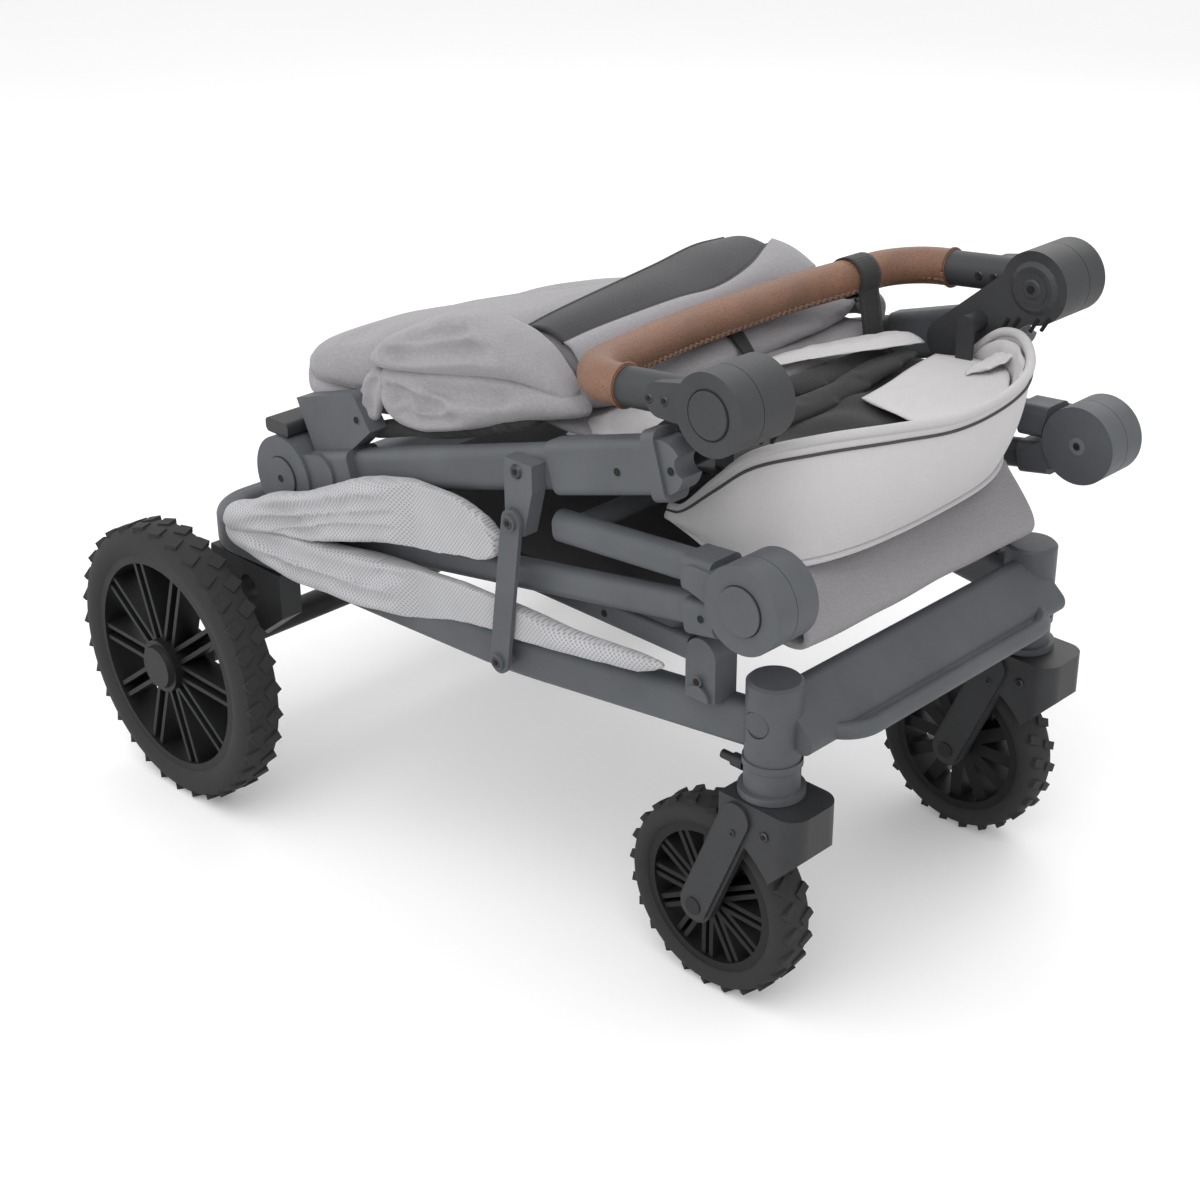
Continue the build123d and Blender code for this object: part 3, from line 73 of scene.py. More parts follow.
class StrollerFinish(bpy.types.PropertyGroup):
    """Colours of the stroller's finishes."""

    frame_paint: bpy.props.FloatVectorProperty(
        name="Frame paint", description="Powder coat on the tubes and hinges", subtype="COLOR",
        size=3, min=0, max=1, default=SLOT_COLOUR["frame_grey"])
    moulding: bpy.props.FloatVectorProperty(
        name="Moulded plastic", description="Hubs, forks and legs", subtype="COLOR",
        size=3, min=0, max=1, default=SLOT_COLOUR["black_plastic"])
    tyre: bpy.props.FloatVectorProperty(
        name="Tyre rubber", description="Foam-filled tyres", subtype="COLOR",
        size=3, min=0, max=1, default=SLOT_COLOUR["tyre_rubber"])
    leather: bpy.props.FloatVectorProperty(
        name="Grip leather", description="Leather sewn round the push bar", subtype="COLOR",
        size=3, min=0, max=1, default=SLOT_COLOUR["tan_leather"])
    hood_cloth: bpy.props.FloatVectorProperty(
        name="Hood cloth", description="Heather cloth of the hood and front panel", subtype="COLOR",
        size=3, min=0, max=1, default=SLOT_COLOUR["grey_cloth"])
    visor_cloth: bpy.props.FloatVectorProperty(
        name="Visor cloth", description="Pale cloth of the visor and linings", subtype="COLOR",
        size=3, min=0, max=1, default=SLOT_COLOUR["cream_cloth"])
    hood_mesh: bpy.props.FloatVectorProperty(
        name="Hood mesh", description="Dark see-out mesh of the hood", subtype="COLOR",
        size=3, min=0, max=1, default=SLOT_COLOUR["black_mesh"])
    side_net: bpy.props.FloatVectorProperty(
        name="Side net", description="Grey air mesh of the sides", subtype="COLOR",
        size=3, min=0, max=1, default=SLOT_COLOUR["grey_net"])
    webbing: bpy.props.FloatVectorProperty(
        name="Webbing", description="Wrist strap and pull tab", subtype="COLOR",
        size=3, min=0, max=1, default=SLOT_COLOUR["black_webbing"])


class StrollerCloth(bpy.types.PropertyGroup):
    """Sizes of the sewn pieces."""

    voxel: bpy.props.FloatProperty(
        name="Cloth grain", description="Point spacing of the padded cloth pieces",
        default=0.0048, min=0.003, max=0.02, unit="LENGTH")
    puff_cap: bpy.props.FloatProperty(
        name="Puff limit", description="Furthest that a cloth point may swell",
        default=0.006, min=0.0, max=0.03, unit="LENGTH")
    puff_frames: bpy.props.IntProperty(
        name="Puff frames", description="Steps of the cloth simulation", default=16, min=4, max=40)
    sheet_thickness: bpy.props.FloatProperty(
        name="Sheet thickness", description="Thickness of the single cloth sheets",
        default=0.0022, min=0.0005, max=0.01, unit="LENGTH")
    binding_radius: bpy.props.FloatProperty(
        name="Binding radius", description="Radius of the visor's rim binding",
        default=0.0042, min=0.001, max=0.01, unit="LENGTH")
    piping_radius: bpy.props.FloatProperty(
        name="Piping radius", description="Radius of the dark piping and seam cords",
        default=0.0013, min=0.0005, max=0.004, unit="LENGTH")
    stitch_pitch: bpy.props.FloatProperty(
        name="Stitch pitch", description="Distance from stitch to stitch",
        default=0.0048, min=0.002, max=0.02, unit="LENGTH")
    stitch_length: bpy.props.FloatProperty(
        name="Stitch length", description="Length of one stitch",
        default=0.0034, min=0.001, max=0.02, unit="LENGTH")


class StrollerStage(bpy.types.PropertyGroup):
    """Camera and light."""

    camera_place: bpy.props.FloatVectorProperty(
        name="Camera place", description="Where the camera stands", subtype="XYZ", unit="LENGTH",
        size=3, default=(1.2530, -1.2637, 1.0792))
    camera_target: bpy.props.FloatVectorProperty(
        name="Camera target", description="Point that the camera looks at", subtype="XYZ", unit="LENGTH",
        size=3, default=(-0.0189, -0.0153, 0.2610))
    camera_roll: bpy.props.FloatProperty(
        name="Camera roll", description="Turn of the camera about its own view", subtype="ANGLE",
        default=math.radians(0.6))
    lens: bpy.props.FloatProperty(
        name="Lens", description="Focal length in millimetres", default=60.1, min=10, max=200)
    key_power: bpy.props.FloatProperty(
        name="Key light", description="Power of the large soft light in watts", default=36.0, min=0, max=500)


# Node helpers


def add_node(tree, kind, feeds=None, **settings):
    """Add a node, set its properties and feed its inputs with values or other nodes' outputs."""
    node = tree.nodes.new(kind)
    for key, value in settings.items():
        setattr(node, key, value)
    for key, value in (feeds or {}).items():
        socket = node.inputs[key]
        if isinstance(value, bpy.types.NodeSocket):
            tree.links.new(value, socket)
        else:
            socket.default_value = value
    return node


def start_material(name, roughness, metallic=0.0):
    """New material with its shader and the Object coordinates that its pattern reads."""
    material = bpy.data.materials.new(name)
    material.use_nodes = True
    tree = material.node_tree
    shader = tree.nodes["Principled BSDF"]
    shader.inputs["Roughness"].default_value = roughness
    shader.inputs["Metallic"].default_value = metallic
    place = tree.nodes.new("ShaderNodeTexCoord").outputs["Object"]
    return material, tree, shader, place


def noise_value(tree, place, scale, detail=3.0, roughness=0.55):
    """Noise factor at a scale in waves per metre."""
    node = add_node(tree, "ShaderNodeTexNoise", {"Vector": place, "Scale": scale, "Detail": detail,
                                                 "Roughness": roughness})
    return node.outputs["Fac"]


def remap(tree, value, low, high, to_low, to_high):
    """Value between two limits, stretched to two others."""
    node = add_node(tree, "ShaderNodeMapRange", {"Value": value, "From Min": low, "From Max": high,
                                                 "To Min": to_low, "To Max": to_high})
    return node.outputs["Result"]


def blend_colours(tree, factor, first, second):
    """Mix of two colours by a factor."""
    node = add_node(tree, "ShaderNodeMix", data_type="RGBA")
    tree.links.new(factor, node.inputs[0])
    for socket, colour in ((node.inputs[6], first), (node.inputs[7], second)):
        if isinstance(colour, bpy.types.NodeSocket):
            tree.links.new(colour, socket)
        else:
            socket.default_value = (*colour[:3], 1.0)
    return node.outputs[2]


def math_value(tree, operation, first, second=0.0):
    """Result of a Math node."""
    node = add_node(tree, "ShaderNodeMath", {0: first, 1: second}, operation=operation)
    return node.outputs[0]


def add_bump(tree, shader, height, strength, distance):
    """Bump the shader's surface by a height."""
    bump = add_node(tree, "ShaderNodeBump", {"Height": height, "Strength": strength, "Distance": distance})
    tree.links.new(bump.outputs["Normal"], shader.inputs["Normal"])


def shade(colour, share):
    """Colour made darker or lighter by a share."""
    return tuple(min(1.0, channel * share) for channel in colour)


# Finishes


def frame_paint_finish(name, colour):
    """Satin powder coat: fine orange peel, faint speckle and handling marks."""
    material, tree, shader, place = start_material(name, 0.5)
    shader.inputs["Specular IOR Level"].default_value = 0.25
    speckle = noise_value(tree, place, 1500.0, 2.0)
    cloud = noise_value(tree, place, 11.0, 4.0)
    tone = blend_colours(tree, remap(tree, cloud, 0.35, 0.65, 0.0, 1.0), shade(colour, 0.9),
                         shade(colour, 1.1))
    fleck = remap(tree, speckle, 0.62, 0.72, 0.0, 0.35)
    tree.links.new(blend_colours(tree, fleck, tone, shade(colour, 1.7)), shader.inputs["Base Color"])
    scuff = noise_value(tree, place, 60.0, 5.0, 0.7)
    tree.links.new(remap(tree, scuff, 0.3, 0.75, 0.40, 0.56), shader.inputs["Roughness"])
    add_bump(tree, shader, speckle, 0.22, 0.0004)
    return material


def moulding_finish(name, colour, roughness, grain, gloss=0.4):
    """Moulded plastic with a spark-eroded grain and faint flow marks."""
    material, tree, shader, place = start_material(name, roughness)
    shader.inputs["Specular IOR Level"].default_value = gloss
    cell = add_node(tree, "ShaderNodeTexVoronoi", {"Vector": place, "Scale": grain, "Randomness": 1.0})
    flow = noise_value(tree, place, 16.0, 4.0)
    tree.links.new(blend_colours(tree, remap(tree, flow, 0.3, 0.7, 0.0, 1.0), shade(colour, 0.82),
                                 shade(colour, 1.28)),
                   shader.inputs["Base Color"])
    tree.links.new(remap(tree, flow, 0.3, 0.7, roughness - 0.06, roughness + 0.08),
                   shader.inputs["Roughness"])
    add_bump(tree, shader, cell.outputs["Distance"], 0.25, 0.0005)
    return material


def rubber_finish(name, colour):
    """Matte tyre rubber with dusty high spots and a fine moulded skin."""
    material, tree, shader, place = start_material(name, 0.78)
    shader.inputs["Specular IOR Level"].default_value = 0.22
    dust = noise_value(tree, place, 34.0, 6.0, 0.7)
    skin = noise_value(tree, place, 900.0, 3.0)
    tone = blend_colours(tree, remap(tree, dust, 0.45, 0.75, 0.0, 0.6), colour, shade(colour, 2.3))
    tree.links.new(tone, shader.inputs["Base Color"])
    tree.links.new(remap(tree, dust, 0.3, 0.7, 0.70, 0.9), shader.inputs["Roughness"])
    add_bump(tree, shader, skin, 0.35, 0.0006)
    return material


def steel_finish(name, colour):
    """Zinc-plated steel, brushed along the turning marks."""
    material, tree, shader, place = start_material(name, 0.35, 1.0)
    stretched = add_node(tree, "ShaderNodeMapping", {"Vector": place, "Scale": (900.0, 60.0, 900.0)})
    brush = noise_value(tree, stretched.outputs["Vector"], 1.0, 3.0)
    tree.links.new(blend_colours(tree, brush, shade(colour, 0.75), shade(colour, 1.15)),
                   shader.inputs["Base Color"])
    tree.links.new(remap(tree, brush, 0.3, 0.7, 0.28, 0.46), shader.inputs["Roughness"])
    add_bump(tree, shader, brush, 0.12, 0.0002)
    return material


def leather_finish(name, colour):
    """Full-grain leather: small pebbled cells, painted shade in their creases, patchy tone and a patchy worn
    sheen.
    """
    material, tree, shader, place = start_material(name, 0.5)
    warp = noise_value(tree, place, 120.0, 3.0)
    pebble = add_node(tree, "ShaderNodeTexVoronoi", {"Vector": place, "Scale": 620.0, "Randomness": 0.9},
                      feature="DISTANCE_TO_EDGE")
    crease = remap(tree, pebble.outputs["Distance"], 0.0, 0.16, 0.0, 1.0)
    patch = noise_value(tree, place, 22.0, 4.0)
    body = blend_colours(tree, remap(tree, patch, 0.3, 0.7, 0.0, 1.0), shade(colour, 0.8),
                         shade(colour, 1.22))
    # Painted shade: the creases between the cells are darkened to half the colour, so the high spots read
    # lighter
    tree.links.new(blend_colours(tree, crease, shade(colour, 0.5), body), shader.inputs["Base Color"])
    tree.links.new(remap(tree, patch, 0.3, 0.7, 0.40, 0.58), shader.inputs["Roughness"])
    height = math_value(tree, "ADD", crease, math_value(tree, "MULTIPLY", warp, 0.7))
    add_bump(tree, shader, height, 0.45, 0.0006)
    return material


def weave_height(tree, place, pitch):
    """Over-and-under height of a plain weave, read in three directions so that it wraps round folds."""
    waves = []
    for direction in ("X", "Y", "Z"):
        wave = add_node(tree, "ShaderNodeTexWave", {"Vector": place, "Scale": 0.314 / pitch,
                                                    "Distortion": 1.6, "Detail": 1.0,
                                                    "Detail Scale": 3.0},
                        bands_direction=direction)
        waves.append(wave.outputs["Fac"])
    return math_value(tree, "MULTIPLY", math_value(tree, "ADD", waves[0], waves[1]),
                      math_value(tree, "ADD", waves[2], 0.4))


def heather_finish(name, colour, pitch, fleck):
    """Heather cloth: two-tone yarns with pale and dark slubs, a plain weave and a soft sheen."""
    material, tree, shader, place = start_material(name, 0.88)
    shader.inputs["Sheen Weight"].default_value = 0.18
    shader.inputs["Sheen Roughness"].default_value = 0.5
    weave = weave_height(tree, place, pitch)
    along = add_node(tree, "ShaderNodeMapping", {"Vector": place, "Scale": (180.0, 1100.0, 700.0)})
    slub = noise_value(tree, along.outputs["Vector"], 1.0, 4.0, 0.7)
    cloud = noise_value(tree, place, 8.0, 3.0)
    base = blend_colours(tree, remap(tree, cloud, 0.3, 0.7, 0.0, 1.0), shade(colour, 0.95),
                         shade(colour, 1.05))
    yarn = blend_colours(tree, remap(tree, slub, 0.32, 0.68, 0.0, 1.0), shade(colour, 1.0 - fleck),
                         shade(colour, 1.0 + fleck))
    mixed = add_node(tree, "ShaderNodeMix", {0: 0.6}, data_type="RGBA")
    tree.links.new(base, mixed.inputs[6])
    tree.links.new(yarn, mixed.inputs[7])
    tree.links.new(mixed.outputs[2], shader.inputs["Base Color"])
    height = math_value(tree, "ADD", weave, math_value(tree, "MULTIPLY", slub, 0.6))
    add_bump(tree, shader, height, 0.32, 0.0006)
    return material


def net_finish(name, colour, pitch, hole_share, hole_shade, plane):
    """Knitted mesh: round eyelets in the plane that the cloth lies in, darkened as painted shade and dented
    in the bump.
    """
    material, tree, shader, place = start_material(name, 0.85)
    shader.inputs["Sheen Weight"].default_value = 0.15
    split = add_node(tree, "ShaderNodeSeparateXYZ", {0: place})
    flat = add_node(tree, "ShaderNodeCombineXYZ", {0: split.outputs[plane[0]], 1: split.outputs[plane[1]]})
    turned = add_node(tree, "ShaderNodeMapping", {"Vector": flat.outputs[0],
                                                  "Rotation": (0.0, 0.0, math.radians(38))})
    eyelet = add_node(tree, "ShaderNodeTexVoronoi", {"Vector": turned.outputs["Vector"], "Scale": 1.0 / pitch,
                                                     "Randomness": 0.0},
                      voronoi_dimensions="2D")
    ground = remap(tree, eyelet.outputs["Distance"], hole_share, hole_share + 0.16, 0.0, 1.0)
    cloud = noise_value(tree, place, 14.0, 4.0)
    yarn = blend_colours(tree, remap(tree, cloud, 0.3, 0.7, 0.0, 1.0), shade(colour, 0.9), shade(colour, 1.1))
    # Painted shade: the eyelets are darkened to a share of the colour, standing in for the shade seen through
    # the holes
    tree.links.new(blend_colours(tree, ground, shade(colour, hole_shade), yarn), shader.inputs["Base Color"])
    add_bump(tree, shader, ground, 0.4, 0.0007)
    return material


def webbing_finish(name, colour):
    """Woven strap with ribs across it, with a painted highlight on the rib tops and painted shade between
    them.
    """
    material, tree, shader, place = start_material(name, 0.75)
    shader.inputs["Sheen Weight"].default_value = 0.1
    rib = add_node(tree, "ShaderNodeTexWave", {"Vector": place, "Scale": 190.0, "Distortion": 0.6},
                   bands_direction="Z")
    cross = add_node(tree, "ShaderNodeTexWave", {"Vector": place, "Scale": 240.0, "Distortion": 0.6},
                     bands_direction="Y")
    weave = math_value(tree, "MULTIPLY", rib.outputs["Fac"], cross.outputs["Fac"])
    # Painted highlight and shade: the weave's height lightens the rib tops and darkens the gaps between them
    tree.links.new(blend_colours(tree, weave, shade(colour, 0.6), shade(colour, 1.8)),
                   shader.inputs["Base Color"])
    add_bump(tree, shader, weave, 0.5, 0.0006)
    return material


def thread_finish(name, colour):
    """Twisted sewing thread."""
    material, tree, shader, place = start_material(name, 0.7)
    twist = noise_value(tree, place, 2200.0, 2.0)
    tree.links.new(blend_colours(tree, twist, shade(colour, 0.7), shade(colour, 1.2)),
                   shader.inputs["Base Color"])
    add_bump(tree, shader, twist, 0.4, 0.0003)
    return material


def finish_of(name):
    """The named finish, made the first time that it is asked for."""
    found = bpy.data.materials.get(name)
    if found:
        return found
    paint = bpy.context.scene.stroller_finish
    makers = {
        "frame_paint": lambda: frame_paint_finish(name, shade(paint.frame_paint, 0.86)),
        "button_paint": lambda: frame_paint_finish(name, shade(paint.frame_paint, 0.76)),
        "hub_moulding": lambda: moulding_finish(name, shade(paint.moulding, 1.35), 0.5, 1700.0),
        "fork_moulding": lambda: moulding_finish(name, paint.moulding, 0.46, 1500.0),
        "rim_moulding": lambda: moulding_finish(name, shade(paint.moulding, 0.45), 0.42, 2100.0, 0.2),
        "board_moulding": lambda: moulding_finish(name, SLOT_COLOUR["floor_card"], 0.62, 900.0),
        "tyre_rubber": lambda: rubber_finish(name, paint.tyre),
        "axle_paint": lambda: frame_paint_finish(name, SLOT_COLOUR["axle_black"]),
        "plated_steel": lambda: steel_finish(name, SLOT_COLOUR["steel"]),
        "dark_steel": lambda: steel_finish(name, (0.07, 0.07, 0.075)),
        "grip_leather": lambda: leather_finish(name, shade(paint.leather, 1.22)),
        "hood_heather": lambda: heather_finish(name, paint.hood_cloth, 0.0011, 0.22),
        "panel_heather": lambda: heather_finish(name, shade(paint.hood_cloth, 0.86), 0.0011, 0.3),
        "visor_weave": lambda: heather_finish(name, paint.visor_cloth, 0.0009, 0.06),
        "rim_binding": lambda: heather_finish(name, shade(paint.visor_cloth, 0.86), 0.0008, 0.08),
        # Mesh finishes: the number before the plane is the painted shade in the eyelets, as a share of the
        # colour
        "hood_see_out_mesh": lambda: net_finish(name, paint.hood_mesh, 0.0019, 0.30, 0.35, "XY"),
        "hood_window_mesh": lambda: net_finish(name, shade(paint.hood_mesh, 3.0), 0.0019, 0.30, 0.4, "XY"),
        "side_air_mesh": lambda: net_finish(name, shade(paint.side_net, 1.28), 0.0030, 0.24, 0.62, "XZ"),
        "strap_webbing": lambda: webbing_finish(name, paint.webbing),
        "seam_cord": lambda: thread_finish(name, (0.055, 0.05, 0.052)),
        "leather_thread": lambda: thread_finish(name, (0.24, 0.14, 0.095)),
        "cloth_thread": lambda: thread_finish(name, (0.30, 0.29, 0.285)),
        "bore_shadow": lambda: moulding_finish(name, (0.006, 0.006, 0.007), 0.8, 1200.0),
    }
    return makers[name]()


# Mesh helpers


def link_mesh(name, vertices, faces, finish, smooth=True):
    """New mesh object at the origin, with its place in its points."""
    mesh = bpy.data.meshes.new(name)
    mesh.from_pydata([tuple(v) for v in vertices], [], [tuple(f) for f in faces])
    mesh.validate()
    obj = bpy.data.objects.new(name, mesh)
    bpy.context.scene.collection.objects.link(obj)
    obj.data.materials.append(finish_of(finish))
    outward(obj)
    if smooth:
        mesh.shade_smooth()
    return obj


def outward(obj):
    """Merge doubles and point the faces outwards."""
    shape = bmesh.new()
    shape.from_mesh(obj.data)
    bmesh.ops.remove_doubles(shape, verts=shape.verts, dist=1e-6)
    bmesh.ops.recalc_face_normals(shape, faces=shape.faces)
    shape.to_mesh(obj.data)
    shape.free()


def bake_modifiers(obj):
    """Apply all modifiers by taking the evaluated mesh."""
    graph = bpy.context.evaluated_depsgraph_get()
    finished = bpy.data.meshes.new_from_object(obj.evaluated_get(graph), preserve_all_data_layers=True,
                                               depsgraph=graph)
    obj.modifiers.clear()
    old = obj.data
    obj.data = finished
    bpy.data.meshes.remove(old)
    return obj


def points_of(obj):
    """The mesh's points as an array."""
    flat = np.zeros(len(obj.data.vertices) * 3)
    obj.data.vertices.foreach_get("co", flat)
    return flat.reshape(-1, 3)


def move_points(obj, points):
    """Write an array back to the mesh's points."""
    obj.data.vertices.foreach_set("co", np.asarray(points, np.float32).ravel())
    obj.data.update()


def normals_of(obj):
    """The mesh's point normals as an array."""
    flat = np.zeros(len(obj.data.vertices) * 3)
    obj.data.vertices.foreach_get("normal", flat)
    return flat.reshape(-1, 3)


def skin_through(rings):
    """Closed skin through rings of equal point counts, with a fan at each end."""
    count = len(rings[0])
    vertices = [point for ring in rings for point in ring]
    faces = []
    for r in range(len(rings) - 1):
        for c in range(count):
            d = (c + 1) % count
            faces.append((r * count + c, r * count + d, (r + 1) * count + d, (r + 1) * count + c))
    for ring, start in ((rings[0], 0), (rings[-1], (len(rings) - 1) * count)):
        vertices.append(np.mean(ring, axis=0))
        middle = len(vertices) - 1
        faces += [(start + c, start + (c + 1) % count, middle) for c in range(count)]
    return vertices, faces


def oval_ring(centre, across, upwards, power, count=40):
    """Ring of points on a squared oval with two half axes given as vectors."""
    ring = []
    for step in range(count):
        angle = 2 * math.pi * step / count
        c, s = math.cos(angle), math.sin(angle)
        u = math.copysign(abs(c) ** (2 / power), c)
        v = math.copysign(abs(s) ** (2 / power), s)
        ring.append(np.asarray(centre) + u * np.asarray(across) + v * np.asarray(upwards))
    return ring


def spline(knots, count):
    """Evenly spaced points on a smooth curve through knots."""
    knots = np.asarray(knots, float)
    padded = np.vstack([2 * knots[0] - knots[1], knots, 2 * knots[-1] - knots[-2]])
    fine = []
    for i in range(len(knots) - 1):
        a, b, c, d = padded[i:i + 4]
        for t in np.linspace(0, 1, 24, endpoint=False):
            fine.append(0.5 * (2 * b + (c - a) * t + (2 * a - 5 * b + 4 * c - d) * t * t
                               + (3 * b - a - 3 * c + d) * t ** 3))
    fine.append(knots[-1])
    fine = np.array(fine)
    reach = np.concatenate([[0], np.cumsum(np.linalg.norm(np.diff(fine, axis=0), axis=1))])
    wanted = np.linspace(0, reach[-1], count)
    return np.column_stack([np.interp(wanted, reach, fine[:, axis]) for axis in range(fine.shape[1])])


def tube_along(name, points, radius, finish, sides=10):
    """Round cord along points, with closed ends."""
    points = np.asarray(points, float)
    ahead = np.gradient(points, axis=0)
    ahead /= np.linalg.norm(ahead, axis=1)[:, None]
    side = np.cross(ahead[0], (0.0, 0.0, 1.0))
    if np.linalg.norm(side) < 1e-3:
        side = np.array((0.0, 1.0, 0.0))
    rings = []
    for point, forward in zip(points, ahead):
        side = side - forward * (side @ forward)
        side /= np.linalg.norm(side)
        rings.append(oval_ring(point, side * radius, np.cross(forward, side) * radius, 2.0, sides))
    return link_mesh(name, *skin_through(rings), finish)


def sheet_grid(name, rows, finish, thickness):
    """Sheet through rows of points, thickened about its middle."""
    count = len(rows[0])
    vertices = [point for row in rows for point in row]
    faces = [(r * count + c, r * count + c + 1, (r + 1) * count + c + 1, (r + 1) * count + c)
             for r in range(len(rows) - 1) for c in range(count - 1)]
    obj = link_mesh(name, vertices, faces, finish)
    wall = obj.modifiers.new("wall", "SOLIDIFY")
    wall.thickness = thickness
    wall.offset = 0.0
    return bake_modifiers(obj)


def columns_through(rows, along, across):
    """Rows of knots in millimetres as smooth lines, and the smooth columns that cross them."""
    lines = [spline(np.asarray(row) * MM, along) for row in rows]
    return lines, [spline([line[i] for line in lines], across) for i in range(along)]


def mount(obj, body):
    """Let a piece ride on a body."""
    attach(obj, body)


def near_line(points, line):
    """Distance from each point to a line of points, and how far along it the nearest place is."""
    best = np.full(len(points), 1e9)
    share = np.zeros(len(points))
    total = len(line) - 1
    for i in range(total):
        a, b = line[i], line[i + 1]
        way = b - a
        t = np.clip(((points - a) @ way) / max(way @ way, 1e-12), 0, 1)
        gap = np.linalg.norm(points - a - t[:, None] * way, axis=1)
        closer = gap < best
        best[closer] = gap[closer]
        share[closer] = (i + t[closer]) / total
    return best, share


def on_skin(obj, line, lift):
    """Line of points moved to the nearest places on a skin and lifted off it."""
    found = []
    for point in line:
        _, place, normal, _ = obj.closest_point_on_mesh(Vector(point))
        found.append(np.array(place + normal * lift))
    return np.array(found)


def on_side(creases, flip):
    """Creases of the right side, turned over to the left where flip is negative."""
    return [([(x, flip * y, z) for x, y, z in line], depth, width) for line, depth, width in creases]


def press_creases(obj, creases):
    """Push the skin in along each crease line, deepest in its middle."""
    for knots, depth, width in creases:
        line = on_skin(obj, spline(np.asarray(knots) * MM, 24), 0.0)
        points = points_of(obj)
        gap, share = near_line(points, line)
        fade = np.clip(np.minimum(share, 1 - share) * 5, 0.15, 1)
        push = depth * MM * fade * np.exp(-(gap / (width * MM)) ** 2)
        move_points(obj, points - normals_of(obj) * push[:, None])


def crumple(obj, height, size, stretch, seed):
    """Low soft waves of slack cloth, stretched along one axis."""
    points = points_of(obj)
    scaled = points / (size * MM) / np.asarray(stretch) + seed
    push = np.array([noise.noise(Vector(p)) for p in scaled]) * height * MM
    move_points(obj, points + normals_of(obj) * push[:, None])


def remesh(obj, voxel):
    """Even out the points of a closed skin."""
    modifier = obj.modifiers.new("grain", "REMESH")
    modifier.mode = "VOXEL"
    modifier.voxel_size = voxel
    bake_modifiers(obj)


def puff(obj, pressure, slack):
    """Let closed cloth swell and wrinkle, keeping each point near where it started."""
    cloth_sizes = bpy.context.scene.stroller_cloth
    scene = bpy.context.scene
    start = points_of(obj)
    cloth = obj.modifiers.new("cloth", "CLOTH")
    cloth.settings.quality = 4
    cloth.settings.mass = 0.25
    cloth.settings.use_pressure = True
    cloth.settings.uniform_pressure_force = pressure
    cloth.settings.shrink_min = -slack
    cloth.settings.effector_weights.gravity = 0.0
    cloth.point_cache.frame_start = 1
    cloth.point_cache.frame_end = cloth_sizes.puff_frames
    for step in range(1, cloth_sizes.puff_frames + 1):
        scene.frame_set(step)
    bake_modifiers(obj)
    scene.frame_set(1)
    way = points_of(obj) - start
    reach = np.linalg.norm(way, axis=1)
    held = np.minimum(reach, cloth_sizes.puff_cap) / np.maximum(reach, 1e-9)
    move_points(obj, start + way * held[:, None])


def soften(obj):
    """One subdivision and smooth shading."""
    modifier = obj.modifiers.new("soft", "SUBSURF")
    modifier.levels = 1
    modifier.render_levels = 1
    bake_modifiers(obj)
    obj.data.shade_smooth()


def relax(obj, rounds, factor=0.5):
    """Smooth out the point grid."""
    modifier = obj.modifiers.new("relax", "SMOOTH")
    modifier.factor = factor
    modifier.iterations = rounds
    bake_modifiers(obj)


def cloth_body(name, rings, finish, creases=(), slack=0.03, pressure=2.5, waves=None):
    """Padded or heaped cloth: closed skin, creased, swollen by simulation, creased again and smoothed."""
    obj = link_mesh(name, *skin_through(rings), finish)
    remesh(obj, bpy.context.scene.stroller_cloth.voxel)
    relax(obj, 4)
    press_creases(obj, creases)
    if waves:
        crumple(obj, *waves)
    puff(obj, pressure, slack)
    relax(obj, 1, 0.4)
    press_creases(obj, [(line, depth * 0.8, width * 0.7) for line, depth, width in creases])
    relax(obj, 1, 0.3)
    soften(obj)
    obj.data.materials.clear()
    obj.data.materials.append(finish_of(finish))
    return obj


# Geometry node trees


def start_geometry_tree(name, floats):
    """Empty tree with a geometry input, named number inputs and a geometry output."""
    tree = bpy.data.node_groups.new(name, "GeometryNodeTree")
    tree.interface.new_socket("Geometry", in_out="INPUT", socket_type="NodeSocketGeometry")
    sockets = {}
    for label, value in floats.items():
        socket = tree.interface.new_socket(label, in_out="INPUT", socket_type="NodeSocketFloat")
        socket.default_value = value
        sockets[label] = socket.identifier
    tree.interface.new_socket("Geometry", in_out="OUTPUT", socket_type="NodeSocketGeometry")
    group_in = tree.nodes.new("NodeGroupInput")
    group_out = tree.nodes.new("NodeGroupOutput")
    return tree, group_in, group_out, sockets


def run_tree(obj, tree, sockets, values):
    """Run a tree on an object with its inputs set, and keep the plain mesh that it gives."""
    modifier = obj.modifiers.new("nodes", "NODES")
    modifier.node_group = tree
    for label, value in values.items():
        modifier[sockets[label]] = value
    return bake_modifiers(obj)


